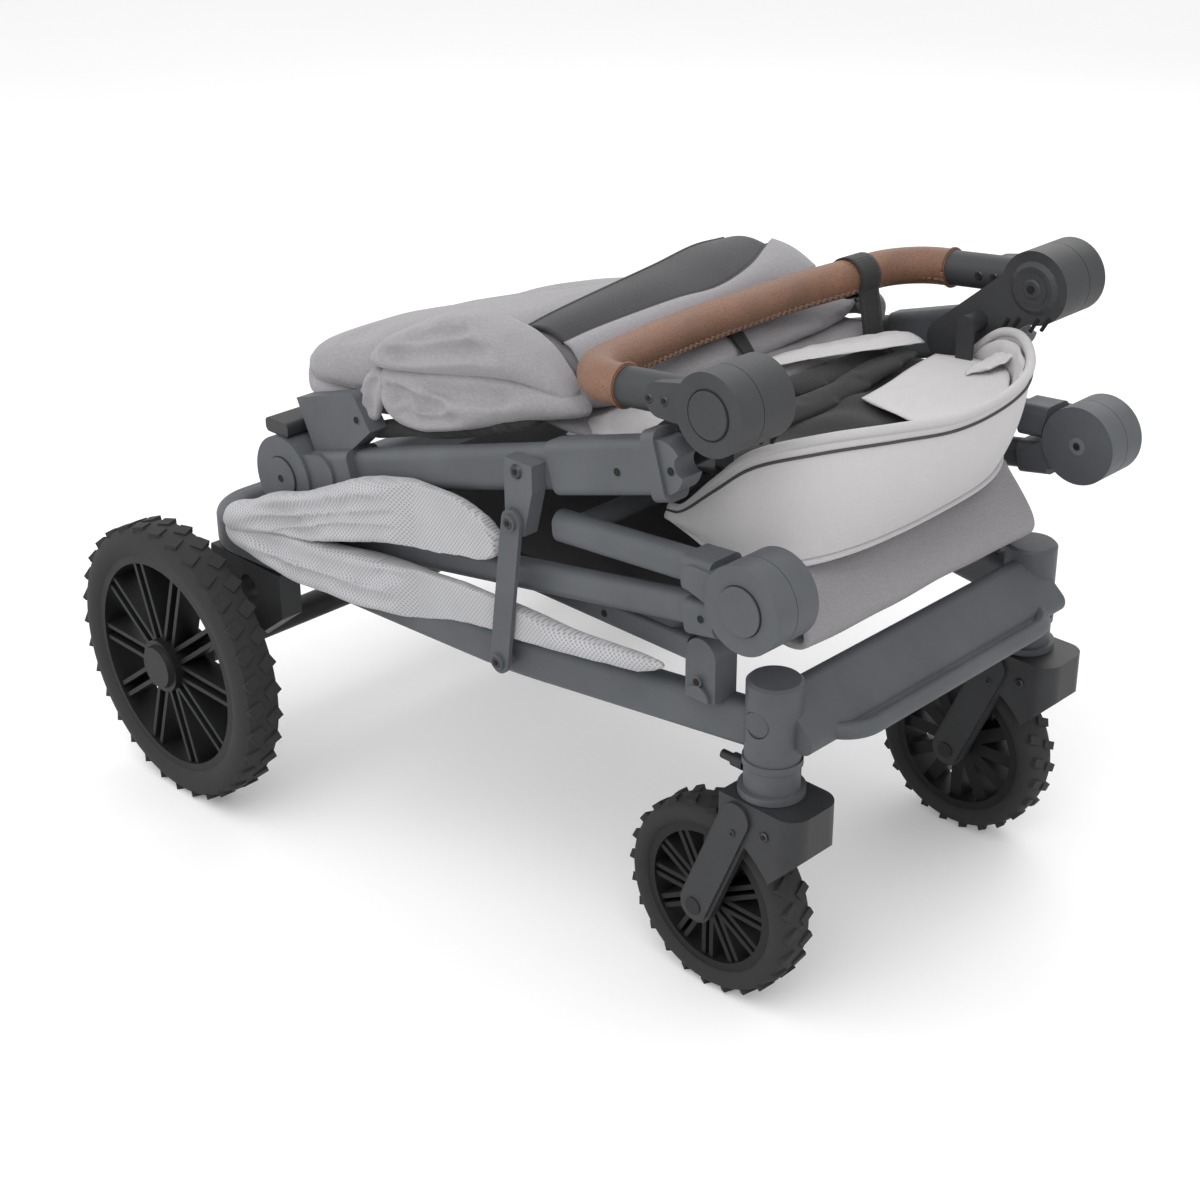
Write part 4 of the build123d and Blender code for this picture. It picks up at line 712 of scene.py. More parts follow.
def fastener_tree(head_finish, recess_finish, head_sides, recess_sides):
    """Screw or rivet heads with a recess, one on each point, facing the way stored on it."""
    name = f"fasteners_{head_finish}_{recess_finish}_{recess_sides}"
    floats = {"Head radius": 0.004, "Head height": 0.0012, "Recess radius": 0.002}
    tree, group_in, group_out, sockets = start_geometry_tree(name, floats)
    head = add_node(tree, "GeometryNodeMeshCone", {"Vertices": head_sides,
                                                   "Radius Bottom": group_in.outputs["Head radius"],
                                                   "Depth": group_in.outputs["Head height"]})
    top = add_node(tree, "ShaderNodeMath", {0: group_in.outputs["Head radius"], 1: 0.82},
                   operation="MULTIPLY")
    tree.links.new(top.outputs[0], head.inputs["Radius Top"])
    recess = add_node(tree, "GeometryNodeMeshCone", {"Vertices": recess_sides, "Depth": 0.0005,
                                                     "Radius Bottom": group_in.outputs["Recess radius"]})
    tree.links.new(group_in.outputs["Recess radius"], recess.inputs["Radius Top"])
    lift = add_node(tree, "ShaderNodeCombineXYZ", {"Z": group_in.outputs["Head height"]})
    raised = add_node(tree, "GeometryNodeTransform", {"Geometry": recess.outputs["Mesh"],
                                                      "Translation": lift.outputs[0]})
    head_set = add_node(tree, "GeometryNodeSetMaterial",
                        {"Geometry": head.outputs["Mesh"], "Material": finish_of(head_finish)})
    recess_set = add_node(tree, "GeometryNodeSetMaterial", {"Geometry": raised.outputs["Geometry"],
                                                            "Material": finish_of(recess_finish)})
    joined = tree.nodes.new("GeometryNodeJoinGeometry")
    tree.links.new(recess_set.outputs[0], joined.inputs[0])
    tree.links.new(head_set.outputs[0], joined.inputs[0])
    facing = add_node(tree, "GeometryNodeInputNamedAttribute", {"Name": "facing"}, data_type="FLOAT_VECTOR")
    turn = add_node(tree, "FunctionNodeAlignRotationToVector", {"Vector": facing.outputs["Attribute"]},
                    axis="Z")
    placed = add_node(tree, "GeometryNodeInstanceOnPoints", {"Points": group_in.outputs["Geometry"],
                                                             "Instance": joined.outputs[0],
                                                             "Rotation": turn.outputs["Rotation"]})
    real = add_node(tree, "GeometryNodeRealizeInstances", {"Geometry": placed.outputs[0]})
    tree.links.new(real.outputs[0], group_out.inputs[0])
    return tree, sockets


def stitch_tree(finish):
    """Short stitches laid end to end along an edge line."""
    floats = {"Pitch": 0.005, "Length": 0.0034, "Radius": 0.0005, "Slant": 0.0}
    tree, group_in, group_out, sockets = start_geometry_tree(f"stitches_{finish}", floats)
    curve = add_node(tree, "GeometryNodeMeshToCurve", {"Mesh": group_in.outputs["Geometry"]})
    spaced = add_node(tree, "GeometryNodeResampleCurve",
                      {"Curve": curve.outputs[0], "Length": group_in.outputs["Pitch"]},
                      mode="LENGTH")
    tangent = tree.nodes.new("GeometryNodeInputTangent")
    turn = add_node(tree, "FunctionNodeAlignRotationToVector", {"Vector": tangent.outputs[0]}, axis="Z")
    lean = add_node(tree, "ShaderNodeCombineXYZ", {"X": group_in.outputs["Slant"]})
    lean_turn = add_node(tree, "FunctionNodeEulerToRotation", {0: lean.outputs[0]})
    both = add_node(tree, "FunctionNodeRotateRotation", {0: turn.outputs[0], 1: lean_turn.outputs[0]},
                    rotation_space="LOCAL")
    thread = add_node(tree, "GeometryNodeMeshCylinder", {"Vertices": 6, "Radius": group_in.outputs["Radius"],
                                                         "Depth": group_in.outputs["Length"]})
    placed = add_node(tree, "GeometryNodeInstanceOnPoints",
                      {"Points": spaced.outputs[0], "Instance": thread.outputs["Mesh"],
                       "Rotation": both.outputs[0]})
    real = add_node(tree, "GeometryNodeRealizeInstances", {"Geometry": placed.outputs[0]})
    coloured = add_node(tree, "GeometryNodeSetMaterial",
                        {"Geometry": real.outputs[0], "Material": finish_of(finish)})
    tree.links.new(coloured.outputs[0], group_out.inputs[0])
    return tree, sockets


def sew(name, lines, finish, body, pitch_share=1.0, slant=0.0, radius=0.0005):
    """Stitches along lines of points, riding on a body."""
    sizes = bpy.context.scene.stroller_cloth
    vertices, edges = [], []
    for line in lines:
        first = len(vertices)
        vertices += [tuple(point) for point in line]
        edges += [(first + i, first + i + 1) for i in range(len(line) - 1)]
    mesh = bpy.data.meshes.new(name)
    mesh.from_pydata(vertices, edges, [])
    obj = bpy.data.objects.new(name, mesh)
    bpy.context.scene.collection.objects.link(obj)
    tree, sockets = stitch_tree(finish)
    run_tree(obj, tree, sockets, {"Pitch": sizes.stitch_pitch * pitch_share,
                                  "Length": sizes.stitch_length * pitch_share,
                                  "Radius": radius, "Slant": slant})
    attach(obj, body)
    return obj


# Fastener kinds: finish of the head and of its recess, head radius and height, recess radius and sides
FASTENER_KINDS = {
    "wall_bore": ("frame_paint", "bore_shadow", 4.6, 0.6, 3.4, 16),
    "floor_bore": ("frame_paint", "bore_shadow", 4.4, 0.5, 3.2, 16),
    "beam_rivet": ("frame_paint", "frame_paint", 6.0, 3.2, 3.0, 16),
    "lock_rivet": ("dark_steel", "bore_shadow", 6.5, 2.2, 2.6, 6),
    "lock_recess": ("dark_steel", "bore_shadow", 5.6, 0.9, 2.6, 6),
    "handle_screw": ("dark_steel", "bore_shadow", 4.2, 0.8, 2.2, 6),
    "hub_step": ("hub_moulding", "hub_moulding", 24.0, 3.0, 15.0, 28),
    "hub_screw": ("hub_moulding", "dark_steel", 9.0, 1.6, 4.0, 6),
    "fork_screw": ("dark_steel", "bore_shadow", 4.4, 0.9, 2.2, 6),
    "fork_pip": ("fork_moulding", "bore_shadow", 3.2, 0.5, 1.5, 6),
}
HEAD_SIDES = 20


def fasten(name, spots, kind, body):
    """Fasteners of one kind at spots, each a place in millimetres and a facing, riding on a body."""
    head_finish, recess_finish, radius, height, recess, recess_sides = FASTENER_KINDS[kind]
    mesh = bpy.data.meshes.new(name)
    mesh.from_pydata([tuple(np.asarray(place) * MM) for place, _ in spots], [], [])
    facing = mesh.attributes.new("facing", "FLOAT_VECTOR", "POINT")
    facing.data.foreach_set("vector", np.asarray([way for _, way in spots], np.float32).ravel())
    obj = bpy.data.objects.new(name, mesh)
    bpy.context.scene.collection.objects.link(obj)
    tree, sockets = fastener_tree(head_finish, recess_finish, HEAD_SIDES, recess_sides)
    run_tree(obj, tree, sockets, {"Head radius": radius * MM, "Head height": height * MM,
                                  "Recess radius": recess * MM})
    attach(obj, body)
    return obj


def both_sides(spots):
    """Spots on the right side and their mirror images on the left."""
    mirrored = [((x, -y, z), (a, -b, c)) for (x, y, z), (a, b, c) in spots]
    return list(spots) + mirrored


def on_wall(along, lift=0.0):
    """Place in the rear wall's side view, by distance from the pivot and height above the tube."""
    c, s = math.cos(REAR_WALL_RISE), math.sin(REAR_WALL_RISE)
    return REAR_PIVOT[0] + along * c - lift * s, REAR_PIVOT[1] + along * s + lift * c


# Pieces

NODE_FINISH = {
    "frame_paint": ["base_frame", "front_beam", "front_knuckles", "floor_struts", "floor_rails",
                    "front_wall_frame", "lock_bracket", "fold_lock_bar"],
    "axle_paint": ["rear_axle"],
    "fork_moulding": ["brake_pedal", "rear_cross_bar", "canopy_bow"],
    "board_moulding": ["floor_board"],
    "plated_steel": ["hinge_pins"],
    "grip_leather": ["handle_grip"],
}
PAIR_FINISH = {
    "frame_paint": ["caster_post", "front_hinge_lower", "rear_hinge_bracket", "front_hinge_arm",
                    "rear_hinge_arm", "rear_wall_tube", "wall_sleeve"],
    "hub_moulding": ["handle_arm", "handle_end", "hub_button"],
    "fork_moulding": ["rear_leg", "caster_fork", "swivel_lock"],
    "rim_moulding": ["front_rim", "rear_rim"],
    "button_paint": ["release_button"],
    "axle_paint": ["front_axle"],
    "tyre_rubber": ["front_tyre", "rear_tyre"],
}


class STROLLER_OT_frame_finish(bpy.types.Operator):
    """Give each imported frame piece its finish"""

    bl_idname = "stroller.frame_finish"
    bl_label = "Frame Finish"

    def execute(self, context):
        plan = {node: finish for finish, nodes in NODE_FINISH.items() for node in nodes}
        plan.update({f"{node}_{side}": finish for finish, nodes in PAIR_FINISH.items() for node in nodes
                     for side, _ in SIDE_FLIPS})
        for node, finish in plan.items():
            obj = frame["nodes"][node]
            obj.data.materials.clear()
            obj.data.materials.append(finish_of(finish))
        return {"FINISHED"}


# Folded hood: place along X, half width, lowest and highest point, and how much higher the right side is
# than the middle
HOOD_RINGS = [(-214, 150, 409, 424, 2), (-211, 180, 406, 436, 5), (-200, 194, 405.5, 448, 9),
              (-178, 202, 405.5, 460, 15), (-150, 205, 405.5, 468, 20), (-90, 206, 412, 486, 24),
              (-40, 205, 419, 502, 25), (10, 202, 434, 518, 21), (52, 194, 450, 530, 16),
              (72, 178, 458, 524, 13), (84, 158, 466, 510, 10)]
HOOD_POWER = 6.5
HOOD_CREASES = [([(-208, -150, 436), (-150, -208, 436), (-100, -210, 440), (-60, -210, 446)], 4.0, 5.0),
                ([(-120, -150, 506), (-60, -60, 516), (10, 60, 526)], 6.0, 22.0),
                ([(-190, 40, 462), (-110, 110, 474), (-30, 150, 492)], 5.0, 18.0),
                ([(-160, -60, 474), (-120, 20, 482), (-60, 90, 496)], 4.0, 14.0),
                ([(-90, 20, 490), (-30, 70, 506), (40, 100, 528)], 4.0, 10.0),
                ([(-207, 120, 430), (-150, 206, 424), (-40, 206, 440)], 4.0, 5.0)]
# Near fold in two lobes: place along X and Y of the middle, half thickness across, lowest and highest point
FOLD_LOBES = {
    "hood_fold": [(-72, -217, 3, 482, 489), (-62, -217, 9, 480, 499), (-42, -216, 18, 482, 514),
                  (-10, -214, 25, 488, 532), (30, -212, 28, 496, 549), (70, -209, 28, 503, 557),
                  (104, -206, 26, 508, 551), (128, -202, 20, 506, 538), (146, -198, 14, 500, 522),
                  (160, -195, 7, 496, 508)],
    "hood_under_fold": [(-64, -211, 5, 452, 474), (-54, -210, 14, 438, 484), (-38, -208, 20, 430, 491),
                        (-5, -206, 25, 432, 498), (35, -204, 27, 444, 506), (75, -202, 27, 458, 513),
                        (110, -200, 24, 470, 514), (140, -197, 18, 480, 510), (162, -195, 12, 486, 504),
                        (174, -193, 5, 490, 498)],
}
FOLD_CREASES = {
    "hood_fold": [([(-52, -232, 496), (0, -240, 511), (60, -238, 529), (110, -228, 536)], 8.0, 8.0),
                  ([(-20, -234, 517), (30, -232, 536), (84, -224, 548)], 6.0, 7.0)],
    "hood_under_fold": [([(-52, -228, 466), (-10, -233, 462), (40, -233, 472)], 10.0, 6.0),
                        ([(-36, -230, 446), (10, -232, 450), (56, -230, 464)], 7.0, 6.0),
                        ([(0, -232, 482), (60, -231, 490), (120, -222, 498)], 8.0, 7.0)],
}
FAR_FOLD_TOP = (470.0, 0.17)
FAR_FOLD_DEPTH = 26.0
# Loose loop below the near fold: place of its middle, half width and half thickness
TAIL_RINGS = [(-62, -214, 478, 10, 7), (-66, -218, 468, 17, 9), (-70, -222, 454, 19, 9),
              (-72, -224, 441, 17, 8), (-71, -224, 432, 12, 6), (-70, -223, 428, 5, 3)]
TAIL_CREASES = [([(-62, -226, 474), (-66, -232, 452), (-66, -231, 434)], 7.0, 4.5),
                ([(-80, -228, 462), (-82, -231, 440)], 4.0, 4.0)]
HOOD_SEAM = [(-212, -60, 428), (-208, -130, 430), (-190, -190, 434), (-150, -206, 440), (-110, -208, 444),
             (-70, -209, 446)]
# Rolls under the hood: name, finish, slot, reach along the wall tube, place across, height above the tube's
# middle, half height
UNDER_ROLLS = [("under_mesh", "hood_see_out_mesh", "black_mesh", (84, 330), 203.0, 31.0, 9.0),
               ("under_lining", "visor_weave", "cream_cloth", (190, 345), 196.0, 44.0, 5.0)]
# Front rolls of the hood: rear and front edge, height of the middle at both, thickness and half width
FRONT_ROLLS = [((70, 136), (508, 510), 30, 178),
               ((72, 176), (494, 492), 22, 192),
               ((84, 206), (470, 470), 18, 186)]


class STROLLER_OT_folded_hood(bpy.types.Operator):
    """Heap the hood's cloth on the rear wall, with its near fold and front rolls"""

    bl_idname = "stroller.folded_hood"
    bl_label = "Folded Hood"

    def execute(self, context):
        rings = [self.leaning_ring(*ring) for ring in HOOD_RINGS]
        hood = cloth_body("hood_back", rings, "hood_heather", HOOD_CREASES, slack=0.012, pressure=1.4,
                          waves=(3.0, 85.0, (1.0, 1.6, 1.0), 3.0))
        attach(hood, "rear_wall")
        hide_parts("hood_bundle")
        for side, flip in SIDE_FLIPS:
            for lobe in FOLD_LOBES:
                self.near_fold(lobe, side, flip)
        for number, roll in enumerate(FRONT_ROLLS, start=1):
            self.front_roll(number, *roll)
        self.near_tail()
        self.under_rolls()
        seam = on_skin(hood, spline(np.asarray(HOOD_SEAM) * MM, 120), 0.0004)
        sew("hood_seam_stitches", [seam], "cloth_thread", "rear_wall", 0.9)
        return {"FINISHED"}

    def near_fold(self, lobe, side, flip):
        """One lobe of the fold over a wall tube, lower on the far side."""
        rings = []
        for x, y, t, low, high in FOLD_LOBES[lobe]:
            top, foot = high, low
            if flip < 0:
                top = min(high, FAR_FOLD_TOP[0] + FAR_FOLD_TOP[1] * (x - FOLD_LOBES[lobe][0][0]))
                foot = min(low, top - FAR_FOLD_DEPTH)
            rings.append(oval_ring((x * MM, flip * y * MM, (foot + top) / 2 * MM), (0, t * MM, 0),
                                   (0, 0, (top - foot) / 2 * MM), 2.4, 40))
        creases = FOLD_CREASES[lobe] if flip > 0 else ()
        body = cloth_body(f"{lobe}_{side}", rings, "hood_heather", creases, slack=0.03, pressure=1.6,
                          waves=(4.0, 40.0, (2.4, 1.0, 1.0), 7.0 * flip))
        mount(body, "rear_wall")

    def under_rolls(self):
        """Folded lining and mesh that lie on each wall tube under the hood."""
        for side, flip in SIDE_FLIPS:
            for name, finish, slot_name, (first, last), y, lift, thick in UNDER_ROLLS:
                rings = []
                for share in np.linspace(0, 1, 19):
                    end = 1 - abs(2 * share - 1) ** 6 * 0.6
                    x, z = on_wall(first + (last - first) * share, lift + 2.0 * math.sin(9 * share + lift))
                    middle = np.array((x, -flip * (y + 2.0 * math.sin(7 * share)), z))
                    rings.append(oval_ring(middle * MM, (0, 15 * end * MM, 0), (0, 0, thick * end * MM),
                                           2.4, 24))
                roll = cloth_body(f"{name}_{side}", rings, finish, slack=0.03, pressure=1.2,
                                  waves=(2.0, 26.0, (2.0, 1.0, 1.0), 41.0 + flip))
                mount(roll, "rear_wall")

    def near_tail(self):
        """Loose loop of cloth that hangs from the near fold."""
        rings = [oval_ring(np.array((x, y, z)) * MM, np.array((wide, -0.12 * wide, 0)) * MM,
                           np.array((0, thick, 0)) * MM, 2.4, 28)
                 for x, y, z, wide, thick in TAIL_RINGS]
        tail = cloth_body("hood_tail", rings, "hood_heather", TAIL_CREASES, slack=0.04, pressure=1.6,
                          waves=(3.0, 20.0, (1.0, 1.0, 2.0), 17.0))
        mount(tail, "rear_wall")

    def leaning_ring(self, x, half, low, high, lean):
        """Section of the hood whose top falls from the right side to the left."""
        ring = np.array(oval_ring((x, 0, (low + high) / 2), (0, half, 0), (0, 0, (high - low) / 2),
                                  HOOD_POWER, 64))
        ring[:, 2] -= lean * ring[:, 1] / half * (ring[:, 2] - low) / (high - low)
        return ring * MM

    def front_roll(self, number, places, heights, thick, half_width):
        """One rolled layer across the front of the hood."""
        rings = []
        for share in np.linspace(-1, 1, 25):
            end = 1 - abs(share) ** 6 * 0.55
            wave = 3.0 * math.sin(4.2 * share + number) + 2.0 * math.sin(9.0 * share + 2 * number)
            middle = (sum(places) / 2 + wave, half_width * share, sum(heights) / 2 + 0.6 * wave)
            along = np.array(((places[1] - places[0]) / 2 * end, 0, (heights[1] - heights[0]) / 2))
            rings.append(oval_ring(np.array(middle) * MM, along * MM, np.array((0, 0, thick / 2 * end)) * MM,
                                   3.0, 36))
        roll = cloth_body(f"hood_roll_{number}", rings, "hood_heather", slack=0.02, pressure=1.2,
                          waves=(2.4, 60.0, (1.0, 2.6, 1.0), 11.0 + number))
        mount(roll, "rear_wall")


# See-out window across the top of the hood: near to far, rear edge and front edge
WINDOW_REAR = [(76, -168, 536), (70, -126, 539), (58, -40, 542), (48, 20, 543), (38, 80, 545), (32, 130, 541)]
WINDOW_FRONT = [(120, -168, 532), (119, -126, 535), (124, -40, 540), (130, 10, 541), (124, 60, 548),
                (104, 108, 554)]
PEAK_REAR = [(98, 122, 556), (104, 108, 555), (124, 60, 549), (130, 10, 542), (124, -40, 541),
             (119, -126, 536), (120, -168, 533)]
PEAK_FRONT = [(128, 150, 530), (138, 130, 532), (142, 66, 532), (144, 0, 528), (143, -60, 526),
              (141, -126, 522), (139, -168, 518)]

WINDOW_STEPS = 60
WINDOW_CROWN = 5.0
HEM_CROWN = 4.0
PIPING_LIFT = 0.0012
# Filling under the window: stations across, gap below the sheets, reach to the rear and height of its foot
CREST_STEPS = 40
CREST_DROP = 2.6
CREST_HEEL = 58.0
CREST_FOOT = 502.0


class STROLLER_OT_hood_window(bpy.types.Operator):
    """Lay the dark see-out window and its front hem over the hood"""

    bl_idname = "stroller.hood_window"
    bl_label = "Hood Window"

    def execute(self, context):
        thickness = context.scene.stroller_cloth.sheet_thickness
        window = self.strip("hood_window", WINDOW_REAR, WINDOW_FRONT, "hood_window_mesh", thickness,
                            WINDOW_CROWN)
        hem = self.strip("hood_window_hem", PEAK_REAR, PEAK_FRONT, "hood_heather", thickness, HEM_CROWN)
        self.crest()
        cord_radius = context.scene.stroller_cloth.piping_radius
        for number, edge in enumerate((WINDOW_REAR, WINDOW_FRONT), start=1):
            line = spline(np.asarray(edge) * MM, WINDOW_STEPS) + (0, 0, PIPING_LIFT)
            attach(tube_along(f"window_piping_{number}", line, cord_radius, "seam_cord"), "rear_wall")
        mount(window, "rear_wall")
        mount(hem, "rear_wall")
        return {"FINISHED"}

    def crest(self):
        """Cloth that fills the hood up to the underside of the window."""
        hood = bpy.data.objects["hood_back"]
        lines = [spline(np.asarray(edge) * MM, CREST_STEPS)
                 for edge in (WINDOW_REAR, WINDOW_FRONT, PEAK_FRONT[::-1])]
        drop = np.array((0, 0, CREST_DROP * MM))
        rings = []
        for rear, front, peak in zip(*lines):
            heel = np.array((rear[0] - CREST_HEEL * MM, rear[1], 0.0))
            hit, place, _, _ = hood.ray_cast(Vector((heel[0], heel[1], 1.0)), Vector((0, 0, -1)))
            heel[2] = (place[2] if hit else CREST_FOOT * MM) - 0.005
            crown = (rear + front) / 2 + np.array((0, 0, 0.004))
            toe = np.array((peak[0] - 0.004, peak[1], CREST_FOOT * MM))
            sole = np.array((rear[0] - 0.015, rear[1], min(heel[2], CREST_FOOT * MM) - 0.010))
            knots = [heel, (heel + rear) / 2 + np.array((0, 0, 0.003)), rear - drop, crown - drop,
                     front - drop, peak - drop * 1.4, toe, sole]
            rings.append(spline(knots + knots[:1], 41)[:-1])
        end = np.array(rings[-1])
        rings.append(end.mean(axis=0) + (end - end.mean(axis=0)) * 0.62 + np.array((0, 0.012, -0.004)))
        body = link_mesh("hood_crest", *skin_through(rings), "hood_heather")
        relax(body, 3)
        crumple(body, 1.0, 40.0, (1.0, 2.0, 1.0), 13.0)
        soften(body)
        mount(body, "rear_wall")

    def strip(self, name, rear, front, finish, thickness, crown):
        """Crowned cloth strip between two edges."""
        rear_line = spline(np.asarray(rear) * MM, WINDOW_STEPS)
        front_line = spline(np.asarray(front) * MM, WINDOW_STEPS)
        rows = []
        for share in np.linspace(0, 1, 15):
            row = rear_line + (front_line - rear_line) * share
            row = row + np.array((0, 0, crown * MM * math.sin(math.pi * share)))
            rows.append(row)
        obj = sheet_grid(name, rows, finish, thickness)
        return obj


# Visor: rim and lower edge from the near rear end round the front to the far rear end
VISOR_RIM = [(246, -172, 424), (264, -174, 430), (296, -172, 462), (326, -163, 490), (366, -132, 505),
             (399, -82, 509), (417, -28, 507), (418, 28, 508), (405, 84, 509), (380, 128, 511),
             (348, 160, 512), (318, 173, 504), (292, 175, 480), (268, 175, 446), (246, 174, 430)]
VISOR_LOW = [(246, -171, 414), (266, -173, 410), (294, -172, 401), (322, -163, 397), (352, -140, 397),
             (368, -96, 398), (374, -40, 399), (374, 28, 400), (370, 84, 401), (358, 126, 401),
             (340, 156, 402), (316, 170, 404), (292, 173, 407), (268, 173, 412), (246, 172, 418)]
VISOR_STEPS = 96
VISOR_ROWS = 22
VISOR_BELLY = 0.007
VISOR_TUCK = 0.004
PIPING_ROW = 19
PIPING_STANDOFF = 0.0024
VISOR_MIDDLE = np.array((0.229, 0, 0))
LINING_MIDDLE = np.array((0.229, 0.02, 0))
VISOR_WALL = 0.0036
LINING_WALL = 0.0016
# Pleated lining: share of the rim that it takes, its upper edge, gap to the shell and depth of the pleats
LINING_SPAN = (0.60, 0.95)
LINING_TOP = 0.94
LINING_GAP = 0.0035
PLEAT_DEPTH = 0.0022
LOW_HEM_RADIUS = 0.0026
# Bow pocket: place of the middle, half width and half thickness; scoop lining: near edge, middle and far edge
POCKET_RINGS = [(306, 138, 474, 8, 3), (314, 143, 480, 15, 6), (328, 150, 487, 20, 7), (340, 154, 491, 18, 6),
                (348, 156, 494, 10, 3)]
POCKET_CREASES = [([(312, 138, 484), (326, 144, 492), (342, 150, 499)], 4.0, 4.0),
                  ([(314, 150, 482), (328, 158, 490), (344, 162, 496)], 3.0, 4.0)]
SCOOP_LINING = [[(272, 40, 467), (312, 29, 468), (350, 17, 471), (396, 8, 478)],
                [(266, 100, 470), (306, 98, 469), (350, 90, 473), (394, 50, 479)],
                [(262, 160, 474), (300, 165, 477), (342, 152, 480), (388, 86, 480)]]


class STROLLER_OT_visor(bpy.types.Operator):
    """Sew the pale visor with its rim binding, dark piping, pleated lining and bow pocket"""

    bl_idname = "stroller.visor"
    bl_label = "Visor"

    def execute(self, context):
        sizes = context.scene.stroller_cloth
        rim = spline(np.asarray(VISOR_RIM) * MM, VISOR_STEPS)
        low = spline(np.asarray(VISOR_LOW) * MM, VISOR_STEPS)
        rows = []
        for share in np.linspace(0, 1, VISOR_ROWS):
            belly = VISOR_BELLY * math.sin(math.pi * share) - VISOR_TUCK * (1 - share) ** 6
            rows.append(self.pushed_out(low + (rim - low) * share, belly))
        visor = sheet_grid("visor_shell", rows, "visor_weave", VISOR_WALL)
        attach(visor, "canopy")
        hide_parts("canopy_visor")
        self.trim("visor_binding", rim, sizes.binding_radius, "rim_binding")
        piping = self.pushed_out(rows[PIPING_ROW], PIPING_STANDOFF)
        self.trim("visor_piping", piping, sizes.piping_radius, "seam_cord")
        self.trim("visor_low_hem", low, LOW_HEM_RADIUS, "rim_binding")
        self.lining(rim, low)
        self.pocket()
        self.scoop_lining()
        return {"FINISHED"}

    def pushed_out(self, line, distance):
        """Line moved outwards from the visor's middle."""
        way = line - VISOR_MIDDLE
        way[:, 2] = 0
        return line + way / np.linalg.norm(way, axis=1)[:, None] * distance

    def trim(self, name, line, radius, finish):
        """Round trim along a line of the visor."""
        piece = tube_along(name, line, radius, finish, 12)
        mount(piece, "canopy")

    def lining(self, rim, low):
        """Pleated lining inside the left end of the visor."""
        first, last = (int(VISOR_STEPS * share) for share in LINING_SPAN)
        rows = []
        for share in np.linspace(0, LINING_TOP, 16):
            row = (low + (rim - low) * share)[first:last]
            inward = LINING_MIDDLE - row
            inward[:, 2] = 0
            inward /= np.linalg.norm(inward, axis=1)[:, None]
            steps = np.arange(first, last)
            pleat = LINING_GAP + PLEAT_DEPTH * np.sin(steps * 1.1) * (1 - share * 0.6)
            rows.append(row + inward * pleat[:, None])
        lining = sheet_grid("visor_lining", rows, "visor_weave", LINING_WALL)
        mount(lining, "canopy")

    def pocket(self):
        """Folded pocket on the far inner wall that takes the end of the bow."""
        rings = [oval_ring(np.array((x, y, z)) * MM, np.array((0, half, 0.35 * half)) * MM,
                           np.array((t, 0, 0.9 * t)) * MM, 2.6, 28)
                 for x, y, z, half, t in POCKET_RINGS]
        pocket = cloth_body("bow_pocket", rings, "visor_weave", POCKET_CREASES, slack=0.02, pressure=1.0)
        mount(pocket, "canopy")

    def scoop_lining(self):
        """Pale lining over the far half of the scoop's floor."""
        long_rows, columns = columns_through(SCOOP_LINING, 48, 24)
        lining = sheet_grid("scoop_lining", columns, "visor_weave", LINING_WALL)
        crumple(lining, 2.0, 30.0, (1.0, 2.0, 1.0), 9.0)
        mount(lining, "canopy")


# Hood mesh floor: rear to front, place along X, height in the middle and at the sides
MESH_FLOOR = [(140, 441, 446), (160, 446, 448), (185, 452, 452), (210, 457, 456), (235, 459, 460),
              (258, 461, 463), (282, 462, 462), (306, 459, 456), (330, 456, 448), (352, 458, 442),
              (368, 464, 440)]
MESH_HALF_WIDTH = 168.0
MESH_TAPER_START = 300
MESH_TAPER = 0.85
MESH_WALL = 0.0024
MESH_STATIONS = 57
# Flat folds at the mesh's rear edge: place along X, height, thickness and half length
MESH_FOLDS = [(210, 466, 9, 164), (240, 465, 7, 162)]
# Pale flaps: rear edge, middle and front edge
LINING_FLAPS = {
    "lining_flap_near": [[(140, -186, 462), (168, -184, 470), (200, -184, 474), (236, -180, 478)],
                         [(146, -172, 472), (172, -172, 481), (202, -170, 486), (232, -166, 488)],
                         [(152, -152, 476), (176, -150, 486), (204, -148, 490), (230, -150, 490)]],
    "lining_flap_far": [[(176, -40, 486), (186, 40, 487), (200, 110, 487), (212, 168, 482)],
                        [(181, -39, 488), (200, 44, 490), (222, 112, 489), (230, 168, 484)],
                        [(186, -38, 486), (212, 48, 486), (238, 116, 485), (246, 164, 480)]],
}


